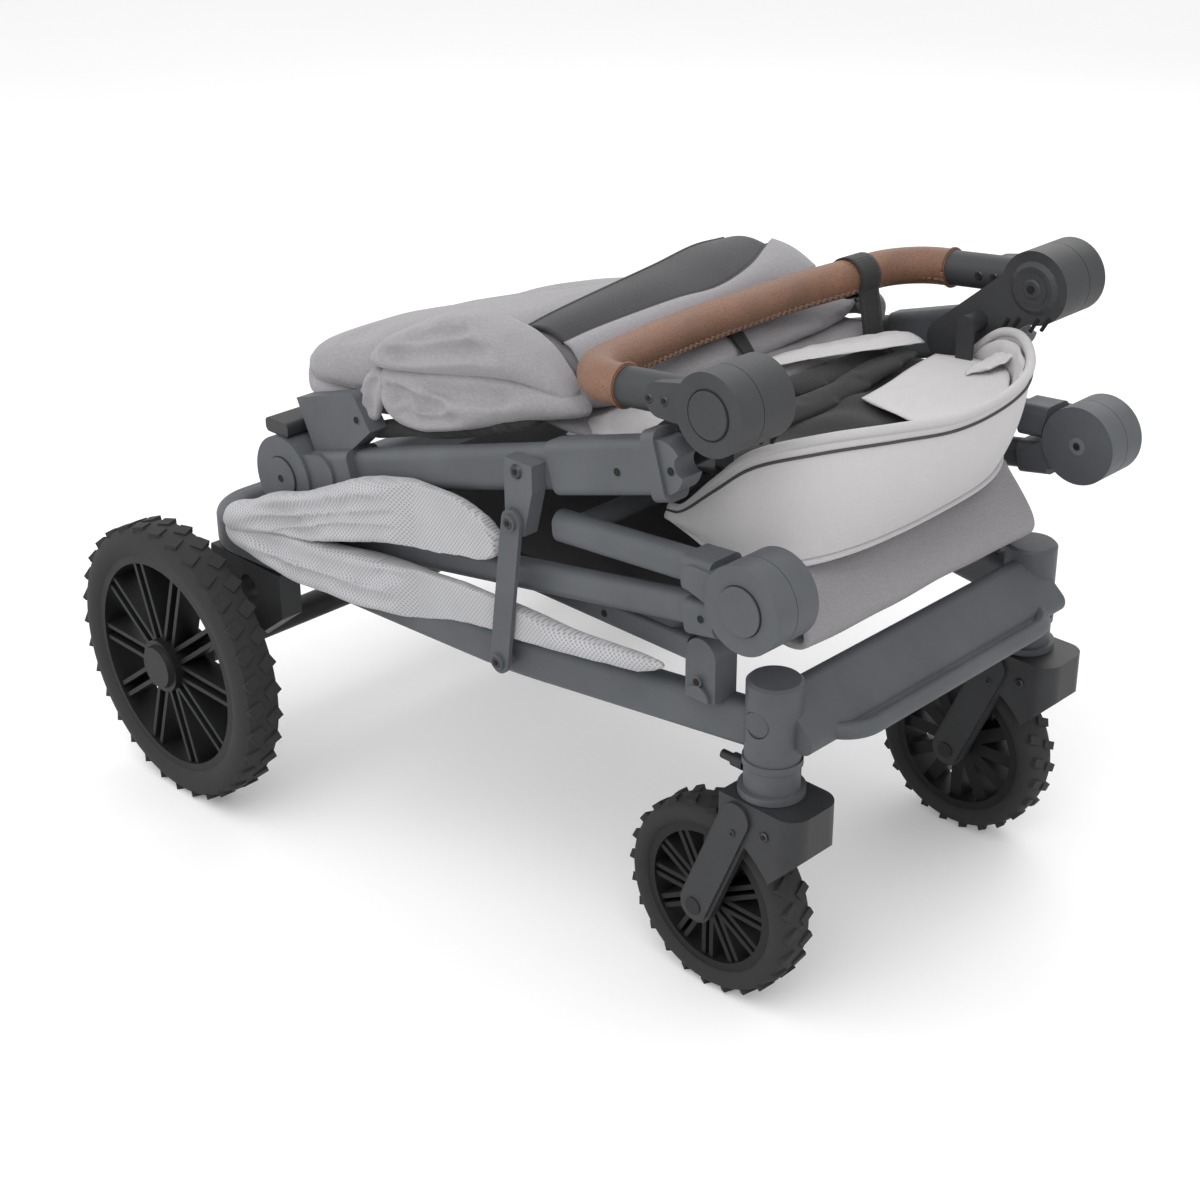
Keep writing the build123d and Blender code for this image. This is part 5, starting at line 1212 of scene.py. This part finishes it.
class STROLLER_OT_hood_mesh(bpy.types.Operator):
    """Lay the dark mesh floor between the hood and the visor, with its folded rear edge and pale linings"""

    bl_idname = "stroller.hood_mesh"
    bl_label = "Hood Mesh"

    def execute(self, context):
        rows = []
        for x, middle, side in MESH_FLOOR:
            half = MESH_HALF_WIDTH - max(0, x - MESH_TAPER_START) * MESH_TAPER
            row = []
            for share in np.linspace(-1, 1, MESH_STATIONS):
                ripple = 2.6 * math.sin(7 * share + x * 0.05)
                fine_ripple = 1.6 * math.sin(13 * share - x * 0.08)
                height = middle + (side - middle) * share ** 2 + ripple + fine_ripple
                row.append(np.array((x, half * share, height)) * MM)
            rows.append(row)
        across = [spline([row[i] for row in rows], 64) for i in range(MESH_STATIONS)]
        floor = sheet_grid("hood_mesh_floor", across, "hood_see_out_mesh", MESH_WALL)
        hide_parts("hood_mesh")
        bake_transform(floor)
        self.folds()
        self.flaps()
        return {"FINISHED"}

    def folds(self):
        """Rear edge of the mesh, turned over in two flat folds."""
        for number, (x, z, thick, half) in enumerate(MESH_FOLDS, start=1):
            rings = []
            for share in np.linspace(-1, 1, 27):
                end = 1 - abs(share) ** 8 * 0.6
                place = np.array((x + 5 * math.sin(3 * share + number), half * share,
                                  z + 3 * math.sin(5 * share + 2 * number) + 3 * share))
                rings.append(oval_ring(place * MM, np.array((21 * end, 0, 2)) * MM,
                                       np.array((0, 0, thick * 0.62 * end)) * MM, 2.6, 28))
            fold = cloth_body(f"mesh_fold_{number}", rings, "hood_see_out_mesh", slack=0.03, pressure=1.2,
                              waves=(2.0, 40.0, (1.0, 2.5, 1.0), 20.0 + number))
            mount(fold, "rear_wall")

    def flaps(self):
        """Pale lining flaps that show beside the near sleeve and under the hood's far end."""
        for name, knots in LINING_FLAPS.items():
            long_rows, columns = columns_through(knots, 40, 16)
            flap = sheet_grid(name, columns, "visor_weave", LINING_WALL)
            crumple(flap, 2.6, 17.0, (1.0, 1.0, 1.0), 5.0)
            mount(flap, "rear_wall")


# Front panel: side view of its middle line, from the floor board's edge down and up under the visor
PANEL_LINE = [(292, 343), (316, 342), (344, 338), (364, 335), (376, 338), (379, 346), (374, 358), (362, 374),
              (350, 388), (344, 397)]
PANEL_HALF = 163.0
PANEL_WALL = 0.0058
PANEL_STEPS = 48


class STROLLER_OT_front_panel(bpy.types.Operator):
    """Turn the heather front panel up under the visor, with a hem along its fold"""

    bl_idname = "stroller.front_panel"
    bl_label = "Front Panel"

    def execute(self, context):
        side_line = spline(np.asarray(PANEL_LINE) * MM, PANEL_STEPS)
        rows = []
        for share in np.linspace(-1, 1, 61):
            sag = 2.2 * math.sin(5.0 * share + 0.6) + 1.4 * math.sin(11.0 * share)
            swell = np.sin(np.linspace(0, math.pi, PANEL_STEPS))
            slack = swell[:, None] * np.array((sag * 0.4, 0, sag * 0.7)) * MM
            pull = 1 - 0.04 * np.linspace(0, 1, PANEL_STEPS) ** 2
            place = np.column_stack([side_line[:, 0], np.full(PANEL_STEPS, PANEL_HALF * share * MM) * pull,
                                     side_line[:, 1]])
            rows.append(place + slack)
        panel = sheet_grid("front_panel_cloth", rows, "panel_heather", PANEL_WALL)
        soften(panel)
        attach(panel, "chassis")
        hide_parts("front_panel")
        hem = [row[24] + np.array((0.0036, 0, -0.0018)) for row in rows[2:-2]]
        sew("panel_hem_stitches", [hem], "cloth_thread", "chassis")
        return {"FINISHED"}


# Side net: two folded lumps and a tail; place along X, middle height, half height and half thickness
NET_UPPER = [(-230, 298, 4, 6), (-218, 305, 14, 13), (-180, 317, 20, 17), (-120, 334, 26, 19),
             (-60, 352, 31, 19), (0, 367, 32, 18), (60, 376, 27, 16), (98, 375, 19, 13), (114, 374, 8, 7)]
NET_LOWER = [(-234, 287, 5, 6), (-222, 287, 14, 13), (-180, 286, 21, 16), (-120, 285, 25, 17),
             (-60, 287, 27, 17), (0, 293, 26, 16), (60, 301, 21, 15), (110, 306, 16, 13), (160, 308, 13, 11),
             (220, 308, 11, 10), (262, 311, 9, 8), (284, 316, 5, 5)]
NET_CREASES = {
    "upper": [([(-190, -276, 320), (-120, -278, 344), (-60, -276, 364), (0, -270, 379), (50, -258, 387)], 8.0,
               6.0),
              ([(-208, -276, 304), (-120, -278, 331), (-60, -276, 349), (10, -268, 366), (92, -250, 371)],
               10.0, 6.0),
              ([(-170, -276, 309), (-120, -278, 319), (-60, -276, 334), (0, -268, 349), (50, -256, 359)], 8.0,
               6.0)],
    "lower": [([(-216, -280, 291), (-150, -282, 297), (-80, -280, 300), (0, -270, 306), (60, -252, 311)], 9.0,
               6.0),
              ([(-200, -280, 279), (-120, -282, 277), (-60, -280, 279), (0, -270, 285), (60, -252, 296)], 7.0,
               6.0)],
}
# Base rail: its knee, and how fast it closes in before and behind the knee
RAIL_KNEE = (117.0, 231.0)
RAIL_SLOPES = (0.208, 0.0654)
# Net outside the rail: furthest hang, where it starts and the length over which it grows
NET_HANG = 15.0
NET_HANG_START = 60
NET_HANG_LENGTH = 160
NET_STANDOFF = 0.6
# Outer side of the frame in metres: of the tubes, and of the rails from their start with their taper
TUBE_SIDE = 0.2375
RAIL_START = 0.130
RAIL_SIDE = 0.236
RAIL_TAPER = 0.11
# Room for the net's outer side: where the lock bar's sweep narrows it, in metres
NET_REACH = 0.292
LOCK_SWEEP_X = (-0.070, 0.015)
LOCK_SWEEP_Y = 0.2504


class STROLLER_OT_side_nets(bpy.types.Operator):
    """Fold the grey side nets over the base rails"""

    bl_idname = "stroller.side_nets"
    bl_label = "Side Nets"

    def execute(self, context):
        for side, flip in SIDE_FLIPS:
            for part, knots in (("upper", NET_UPPER), ("lower", NET_LOWER)):
                rings = []
                for x, z, half, thick in knots:
                    hang = self.beside_rail(x) + (0 if part == "lower" else 3)
                    y = -max(hang, self.frame_side(x * MM) / MM + NET_STANDOFF * thick)
                    rings.append(oval_ring(np.array((x, flip * y, z)) * MM, np.array((0, thick, 0)) * MM,
                                           np.array((0, 0, half)) * MM, 2.4, 36))
                creases = on_side(NET_CREASES[part], flip)
                net = cloth_body(f"side_net_{part}_{side}", rings, "side_air_mesh", creases, slack=0.045,
                                 pressure=1.6, waves=(5.0, 30.0, (3.0, 1.0, 0.8), 31.0 + flip))
                self.clear_of_frame(net, flip)
                if part == "upper":
                    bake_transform(net)
                    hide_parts(f"side_mesh_{side}")
                else:
                    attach(net, "chassis")
        return {"FINISHED"}

    def beside_rail(self, x):
        """Distance of the net from the middle: over the rail in front, hanging outside it at the rear."""
        ahead = x - RAIL_KNEE[0]
        rail = RAIL_KNEE[1] - ahead * RAIL_SLOPES[0 if ahead > 0 else 1]
        return rail + NET_HANG * min(1.0, max(0.0, (NET_HANG_START - x) / NET_HANG_LENGTH))

    def frame_side(self, x):
        """Outer side of the tubes and rails that the net lies against, in metres."""
        return np.where(x > RAIL_START, RAIL_SIDE - (x - RAIL_START) * RAIL_TAPER, TUBE_SIDE)

    def clear_of_frame(self, net, flip):
        """Flatten the net against the frame on its inner side and the lock bar's sweep on its outer side."""
        points = points_of(net)
        inner = self.frame_side(points[:, 0])
        outer = np.interp(points[:, 0], LOCK_SWEEP_X, (NET_REACH, LOCK_SWEEP_Y))
        points[:, 1] = -flip * np.minimum(np.maximum(-flip * points[:, 1], inner), outer)
        move_points(net, points)


# Push-bar grip: bend points in the handle's own plane, as distance from the hub and place across
GRIP_FALL = math.radians(6.0)
GRIP_KNOTS = [(109, -214), (132, -214), (150, -208), (163, -193), (168, -176), (174, -120), (180, -70),
              (182, 0), (180, 70), (174, 120), (168, 176), (163, 193), (150, 208), (132, 214), (109, 214)]
GRIP_RADIUS = 17.15
SEAM_TURN = math.radians(28)
STITCH_SLANT = math.radians(52)
GRIP_STITCH_SHARE = 1.5
GRIP_THREAD_RADIUS = 0.0007


class STROLLER_OT_grip_stitching(bpy.types.Operator):
    """Cross-stitch the leather along the lower front of the push bar"""

    bl_idname = "stroller.grip_stitching"
    bl_label = "Grip Stitching"

    def execute(self, context):
        knots = [(HUB[0] - d * math.cos(GRIP_FALL), y, HUB[1] - d * math.sin(GRIP_FALL))
                 for d, y in GRIP_KNOTS]
        middle = spline(np.asarray(knots) * MM, 240)
        ahead = np.gradient(middle, axis=0)
        ahead /= np.linalg.norm(ahead, axis=1)[:, None]
        inner = np.cross(ahead, (0.0, 0.0, 1.0))
        inner /= np.linalg.norm(inner, axis=1)[:, None]
        if inner[120][0] < 0:
            inner = -inner
        down = np.cross(ahead, inner)
        down *= np.where(down[:, 2] > 0, -1, 1)[:, None]
        seam_way = inner * math.cos(SEAM_TURN) + down * math.sin(SEAM_TURN)
        seam = middle + seam_way * GRIP_RADIUS * MM
        for letter, slant in (("a", STITCH_SLANT), ("b", -STITCH_SLANT)):
            piece = sew(f"grip_cross_stitch_{letter}", [seam], "leather_thread", "handlebar",
                        GRIP_STITCH_SHARE, slant, GRIP_THREAD_RADIUS)
        seam_cord = tube_along("grip_seam", middle + seam_way * (GRIP_RADIUS - 0.35) * MM, 0.0006,
                               "leather_thread", 8)
        mount(seam_cord, "handlebar")
        for number, index in enumerate((0, -1), start=1):
            collar = oval_ring(middle[index], inner[index] * (GRIP_RADIUS + 0.5) * MM,
                               down[index] * (GRIP_RADIUS + 0.5) * MM, 2.0, 40)
            ring = tube_along(f"grip_end_roll_{number}", np.array(collar + collar[:1]), 0.0011,
                              "grip_leather", 8)
            mount(ring, "handlebar")
        return {"FINISHED"}


STRAP_Y = 150.0
STRAP_HALF = 13.0
STRAP_GRIP_R = 18.4
STRAP_REACH = 171.0
STRAP_WALL = 0.0017
STRAP_TAIL = ((1.5, 8), (4, 20), (6.5, 33), (8, 46), (7.5, 54))
SLIDER_RADIUS = 0.0022


class STROLLER_OT_wrist_strap(bpy.types.Operator):
    """Wrap the webbing wrist strap round the grip and let its tail hang"""

    bl_idname = "stroller.wrist_strap"
    bl_label = "Wrist Strap"

    def execute(self, context):
        centre = np.array((HUB[0] - STRAP_REACH * math.cos(GRIP_FALL), STRAP_Y,
                           HUB[1] - STRAP_REACH * math.sin(GRIP_FALL)))
        loop = [centre + np.array((math.cos(a), 0, math.sin(a))) * STRAP_GRIP_R
                for a in np.linspace(math.radians(-30), math.radians(300), 40)]
        start = loop[0]
        tail = [start + np.array((dx, 0, -dz)) for dx, dz in STRAP_TAIL]
        path = np.array(tail[::-1] + loop)
        path = spline(path * MM, 90)
        rows = [[point + np.array((0.06 * shift, shift, 0)) * MM
                 for shift in np.linspace(-STRAP_HALF, STRAP_HALF, 9)] for point in path]
        strap = sheet_grid("strap_loop", rows, "strap_webbing", STRAP_WALL)
        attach(strap, "handlebar")
        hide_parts("wrist_strap")
        ladder = [((centre + np.array((STRAP_GRIP_R - 4, y, -STRAP_GRIP_R + 2))) * MM) for y in (-16, 16)]
        bar = tube_along("strap_slider", np.linspace(*ladder, 6), SLIDER_RADIUS, "fork_moulding", 10)
        mount(bar, "handlebar")
        edges = [[row[1] + np.array((0.0009, 0, 0)) for row in rows[2:26]],
                 [row[-2] + np.array((0.0009, 0, 0)) for row in rows[2:26]]]
        sew("strap_stitches", edges, "seam_cord", "handlebar")
        return {"FINISHED"}


class STROLLER_OT_fasteners(bpy.types.Operator):
    """Set the screws, rivets and bores on the hinges, tubes, hubs and forks"""

    bl_idname = "stroller.fasteners"
    bl_label = "Fasteners"

    def execute(self, context):
        out = (0, -1, 0)
        inwards = (0, 1, 0)
        socket = on_wall(58, 4)
        wing = on_wall(117, 48)
        sleeve = on_wall(446, -2)
        clip = on_wall(502, -3)
        wall_bores = [((socket[0], -244, socket[1]), out), ((wing[0], -235, wing[1]), out),
                      ((sleeve[0], -239, sleeve[1]), out), ((clip[0], -236, clip[1]), out),
                      ((REAR_PIVOT[0], -252, REAR_PIVOT[1]), out)]
        fasten("rear_wall_bores", both_sides(wall_bores), "wall_bore", "rear_wall")
        front_bores = [((342, -244, 418), out)]
        fasten("front_wall_bores", both_sides(front_bores), "wall_bore", "front_wall")
        floor_bores = [((345, -244, 384), out), ((389, -202, 408), inwards), ((-176, -202, 350), inwards),
                       ((206, -208, 327), out), ((315, -214, 306), out)]
        fasten("chassis_bores", both_sides(floor_bores), "floor_bore", "chassis")
        fasten("beam_rivets", both_sides([((399, -141, 270.8), (0, 0, 1))]), "beam_rivet", "chassis")
        fasten("lock_rivet", [((149, -251.4, 451), out)], "lock_rivet", "rear_wall")
        lock_ends = [((126, -259, 270), out), ((145, -259, 406), out)]
        fasten("lock_bar_recess", lock_ends, "lock_recess", "fold_lock")
        hub_screws = [((275.5, -230, 541.7), out), ((291.5, -230, 543.4), out),
                      ((275.5, -198, 541.7), inwards), ((291.5, -198, 543.4), inwards)]
        fasten("handle_end_screws", both_sides(hub_screws), "handle_screw", "handlebar")
        fasten("hub_inner_steps", both_sides([((345, -180, 549), inwards)]), "hub_step", "rear_wall")
        fasten("hub_inner_screws", both_sides([((345, -176.5, 549), inwards)]), "hub_screw", "rear_wall")
        for side, flip in SIDE_FLIPS:
            fork = [((386, flip * -210.5, 190), (0, -flip, 0)), ((386, flip * -147.5, 190), (0, flip, 0))]
            fasten(f"fork_screws_{side}", fork, "fork_screw", f"caster_{side}")
            cover = [((355, flip * -213.5, 181), (0, -flip, 0)), ((355, flip * -144.5, 181), (0, flip, 0))]
            fasten(f"fork_cover_pips_{side}", cover, "fork_pip", f"caster_{side}")
        return {"FINISHED"}


# Grooves: name, middle, radius, place across and body
GROOVES = [("hub_groove", HUB, 19.7, 240.1, "handlebar"),
           ("front_cap_groove", FRONT_PIVOT, 20.2, 250.1, "front_wall"),
           ("rear_cap_groove", REAR_PIVOT, 20.2, 250.1, "rear_wall")]
GROOVE_RADIUS = 0.0007
# Vent slots: number, first place along X, pitch, extra gap in the middle, place across and radius
VENTS = 4
VENT_X = 318
VENT_PITCH = 11
VENT_GAP = 8
VENT_Y = 179.9
VENT_RADIUS = 0.0019
# Ends of a vent slot: shift along X, height on the first slot and rise from slot to slot
VENT_ENDS = ((-3, 503, 3.5), (4, 517, 3.0))


class STROLLER_OT_hub_trim(bpy.types.Operator):
    """Groove rings round the buttons and hinge caps, and vent slots in the handle arms"""

    bl_idname = "stroller.hub_trim"
    bl_label = "Hub Trim"

    def execute(self, context):
        for side, flip in SIDE_FLIPS:
            for name, (x, z), radius, y, body in GROOVES:
                circle = [np.array((x + radius * math.cos(a), -flip * y, z + radius * math.sin(a))) * MM
                          for a in np.linspace(0, 2 * math.pi, 49)]
                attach(tube_along(f"{name}_{side}", circle, GROOVE_RADIUS, "bore_shadow", 8), body)
            self.vents(side, flip)
        return {"FINISHED"}

    def vents(self, side, flip):
        """Row of dark slots in the inner face of the handle arm."""
        for step in range(VENTS):
            x = VENT_X + step * VENT_PITCH + (VENT_GAP if step > 1 else 0)
            foot, head = (np.array((x + shift, -flip * VENT_Y, height + step * rise)) * MM
                          for shift, height, rise in VENT_ENDS)
            slot_piece = tube_along(f"arm_vent_{step + 1}_{side}", np.linspace(foot, head, 8), VENT_RADIUS,
                                    "bore_shadow", 8)
            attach(slot_piece, "rear_wall")


# Pull tab: upper end, run forwards and down, bulge, edges across, how far they draw in, thickness in metres
TAB_TOP = (140, 522)
TAB_RUN = (40, 26)
TAB_BULGE = 5
TAB_EDGES = (-12, 8)
TAB_TAPER = 3
TAB_WALL = 0.0018


class STROLLER_OT_hood_trim(bpy.types.Operator):
    """Hang the pull tab on the front of the hood"""

    bl_idname = "stroller.hood_trim"
    bl_label = "Hood Trim"

    def execute(self, context):
        tab_rows = []
        for share in np.linspace(0, 1, 12):
            x = TAB_TOP[0] + TAB_RUN[0] * share
            z = TAB_TOP[1] - TAB_RUN[1] * share + TAB_BULGE * math.sin(math.pi * share)
            across = np.linspace(TAB_EDGES[0] + TAB_TAPER * share, TAB_EDGES[1] - TAB_TAPER * share, 7)
            tab_rows.append([np.array((x, y, z)) * MM for y in across])
        tab = sheet_grid("hood_pull_tab", tab_rows, "strap_webbing", TAB_WALL)
        mount(tab, "rear_wall")
        return {"FINISHED"}


# Lights: name, place, target, share of the key's power and size
LIGHTS = [("key_light", (0.9, -1.5, 2.6), (0.05, 0, 0.3), 1.0, 2.6),
          ("fill_light", (-2.0, -1.6, 1.5), (0, 0, 0.3), 0.35, 2.4),
          ("back_light", (-0.6, 2.2, 2.2), (0, 0, 0.4), 0.5, 2.2)]
SENSOR_WIDTH = 36.0
CAMERA_SHIFT = (0.0168, -0.0523)
FLOOR_REACH = 30.0
FLOOR_GLOW = 0.16
SKY_LIGHT = 0.84


class STROLLER_OT_stage(bpy.types.Operator):
    """Set the pale floor, the soft light and the camera at the photograph's angle"""

    bl_idname = "stroller.stage"
    bl_label = "Stage"

    def execute(self, context):
        stage = context.scene.stroller_stage
        self.floor()
        self.world(context.scene)
        for name, spot, aimed_at, share, size in LIGHTS:
            self.light(name, spot, aimed_at, stage.key_power * share, size)
        camera = bpy.data.cameras.new("photo_camera")
        camera.lens = stage.lens
        camera.sensor_width = SENSOR_WIDTH
        camera.shift_x, camera.shift_y = CAMERA_SHIFT
        holder = bpy.data.objects.new("photo_camera", camera)
        context.scene.collection.objects.link(holder)
        place, target = Vector(stage.camera_place), Vector(stage.camera_target)
        aim = (target - place).to_track_quat("-Z", "Y")
        holder.rotation_mode = "QUATERNION"
        holder.location = place
        holder.rotation_quaternion = Quaternion(aim @ Vector((0, 0, -1)), stage.camera_roll) @ aim
        context.scene.camera = holder
        context.scene.view_settings.view_transform = "Standard"
        return {"FINISHED"}

    def floor(self):
        """Pale floor that keeps the object's shadow and shows as white to the camera."""
        mesh = bpy.data.meshes.new("floor")
        corners = [(x * FLOOR_REACH, y * FLOOR_REACH, 0) for x, y in ((-1, -1), (1, -1), (1, 1), (-1, 1))]
        mesh.from_pydata(corners, [], [(0, 1, 2, 3)])
        floor = bpy.data.objects.new("floor", mesh)
        bpy.context.scene.collection.objects.link(floor)
        material, tree, shader, place = start_material("studio_floor", 0.9)
        grain = noise_value(tree, place, 3.0, 2.0)
        tree.links.new(blend_colours(tree, grain, (0.87, 0.87, 0.87), (0.89, 0.89, 0.89)),
                       shader.inputs["Base Color"])
        shader.inputs["Specular IOR Level"].default_value = 0.1
        path = tree.nodes.new("ShaderNodeLightPath")
        shader.inputs["Emission Color"].default_value = (1, 1, 1, 1)
        tree.links.new(math_value(tree, "MULTIPLY", path.outputs["Is Camera Ray"], FLOOR_GLOW),
                       shader.inputs["Emission Strength"])
        mesh.materials.append(material)

    def world(self, scene):
        """Even pale surroundings, white to the camera and in reflections."""
        world = bpy.data.worlds.new("studio")
        scene.world = world
        world.use_nodes = True
        tree = world.node_tree
        background = tree.nodes["Background"]
        path = tree.nodes.new("ShaderNodeLightPath")
        seen = math_value(tree, "MAXIMUM", path.outputs["Is Camera Ray"],
                          math_value(tree, "MAXIMUM", path.outputs["Is Glossy Ray"],
                                     path.outputs["Is Transmission Ray"]))
        strength = remap(tree, seen, 0.0, 1.0, SKY_LIGHT, 1.0)
        background.inputs["Color"].default_value = (1, 1, 1, 1)
        tree.links.new(strength, background.inputs["Strength"])

    def light(self, name, place, target, power, size):
        """Large soft area light aimed at a point."""
        data = bpy.data.lights.new(name, "AREA")
        data.energy = power
        data.size = size
        lamp = bpy.data.objects.new(name, data)
        lamp.location = place
        lamp.rotation_euler = (Vector(target) - Vector(place)).to_track_quat("-Z", "Y").to_euler()
        bpy.context.scene.collection.objects.link(lamp)


STEPS = ("frame_finish", "folded_hood", "hood_window", "visor", "hood_mesh", "front_panel", "side_nets",
         "grip_stitching", "wrist_strap", "fasteners", "hub_trim", "hood_trim", "stage")


class STROLLER_PT_panel(bpy.types.Panel):
    """Sidebar list of the stroller's pieces and sizes"""

    bl_idname = "STROLLER_PT_panel"
    bl_label = "Folded Pet Stroller"
    bl_space_type = "VIEW_3D"
    bl_region_type = "UI"
    bl_category = "Stroller"

    def draw(self, context):
        for group in (context.scene.stroller_finish, context.scene.stroller_cloth,
                      context.scene.stroller_stage):
            box = self.layout.box()
            for name in group.__annotations__:
                box.prop(group, name)
        for step in STEPS:
            self.layout.operator(f"stroller.{step}")


CLASSES = (StrollerFinish, StrollerCloth, StrollerStage, STROLLER_OT_frame_finish, STROLLER_OT_folded_hood,
           STROLLER_OT_hood_window, STROLLER_OT_visor, STROLLER_OT_hood_mesh, STROLLER_OT_front_panel,
           STROLLER_OT_side_nets, STROLLER_OT_grip_stitching, STROLLER_OT_wrist_strap, STROLLER_OT_fasteners,
           STROLLER_OT_hub_trim, STROLLER_OT_hood_trim, STROLLER_OT_stage, STROLLER_PT_panel)


def register():
    for cls in CLASSES:
        bpy.utils.register_class(cls)
    bpy.types.Scene.stroller_finish = bpy.props.PointerProperty(type=StrollerFinish)
    bpy.types.Scene.stroller_cloth = bpy.props.PointerProperty(type=StrollerCloth)
    bpy.types.Scene.stroller_stage = bpy.props.PointerProperty(type=StrollerStage)


def unregister():
    del bpy.types.Scene.stroller_stage
    del bpy.types.Scene.stroller_cloth
    del bpy.types.Scene.stroller_finish
    for cls in reversed(CLASSES):
        bpy.utils.unregister_class(cls)


def main():
    register()
    for step in STEPS:
        getattr(bpy.ops.stroller, step)()
    bpy.context.view_layer.update()


if __name__ == "__main__":
    main()
